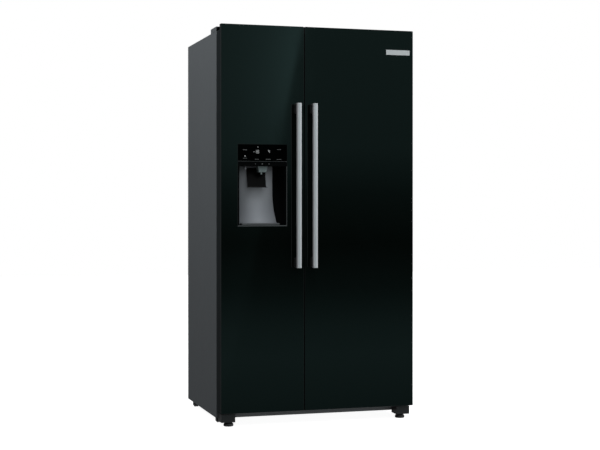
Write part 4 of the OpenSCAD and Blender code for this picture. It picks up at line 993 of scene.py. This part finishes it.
markLook = {
    "depth": 0.00015, "stroke": 0.0015, "digit": (0.0078, 0.0150),
    # left to right and up from the panel's lower left corner: x0, x1, z0, z1
    "labels": [(0.0235, 0.0425, 0.0485, 0.0515), (0.0235, 0.043, 0.0118, 0.014), (0.078, 0.0965, 0.0075, 0.01),
               (0.128, 0.1515, 0.0075, 0.0105), (0.179, 0.202, 0.0075, 0.01), (0.181, 0.2, 0.052, 0.0545)],
    "dots": [(0.0325, 0.0226, 0.0026), (0.092, 0.0635, 0.0018)],
}

# which of the seven strokes each figure lights: top, upper left, upper right, middle,
# lower left, lower right, bottom
figures = {"1": "0010010", "4": "0111010", "8": "1111111"}


def drawFigure(bm, figure, x, z, wide, tall, y):
    s = markLook["stroke"]
    half = tall / 2
    strokes = [(0, wide, tall - s, tall), (0, s, half, tall), (wide - s, wide, half, tall),
               (0, wide, half - s / 2, half + s / 2),
               (0, s, 0, half), (wide - s, wide, 0, half), (0, wide, 0, s)]
    for lit, (a, b, c, d) in zip(figures[figure], strokes):
        if lit == "1":
            block(bm, (x + a, y, z + c), (x + b, y + 0.0004, z + d))


def flatDot(bm, centre, radius, corners):
    # a thin disc, or a three or four sided plate, that faces forward
    place = Matrix.Translation(centre) @ Matrix.Rotation(math.radians(90), 4, "X")
    bmesh.ops.create_cone(bm, cap_ends=True, segments=corners, radius1=radius, radius2=radius,
                          depth=0.0006, matrix=place)


def makeMarks(panelLow, recessTop):
    y = panelLow.y - markLook["depth"]
    x0, z0 = panelLow.x, panelLow.z
    bm = bmesh.new()
    for a, b, c, d in markLook["labels"]:       # short dashes stand for the captions
        parts = 3
        step = (b - a) / parts
        for i in range(parts):
            verts = block(bm, (x0 + a + i * step, y, z0 + c), (x0 + a + (i + 0.78) * step, y + 0.0004, z0 + d))
            bevel(bm, edgesOf(verts, alongAxis(1)), 0.0004, 2)
    middle = (z0 + recessTop) / 2 - 0.001
    for x, corners in ((0.08, 3), (0.1115, 20), (0.1425, 4)):        # three small signs on the strip
        flatDot(bm, (x0 + x, y + 0.0002, middle), 0.0026, corners)
    finished(bm, "panelCaptions", "printWhite", body="freezer_door")
    bm = bmesh.new()
    wide, tall = markLook["digit"]
    drawFigure(bm, "1", x0 + 0.077, z0 + 0.0345, wide, tall, y)
    drawFigure(bm, "8", x0 + 0.0885, z0 + 0.0345, wide, tall, y)
    block(bm, (x0 + 0.071, y, z0 + 0.0412), (x0 + 0.076, y + 0.0004, z0 + 0.0428))
    drawFigure(bm, "4", x0 + 0.1395, z0 + 0.0375, wide * 0.85, tall * 0.85, y)
    for x, z, r in markLook["dots"]:
        flatDot(bm, (x0 + x, y + 0.0002, z0 + z), r, 20)
    finished(bm, "panelFigures", "printLit", body="freezer_door")


makeDispenser()
print("dispenser made")
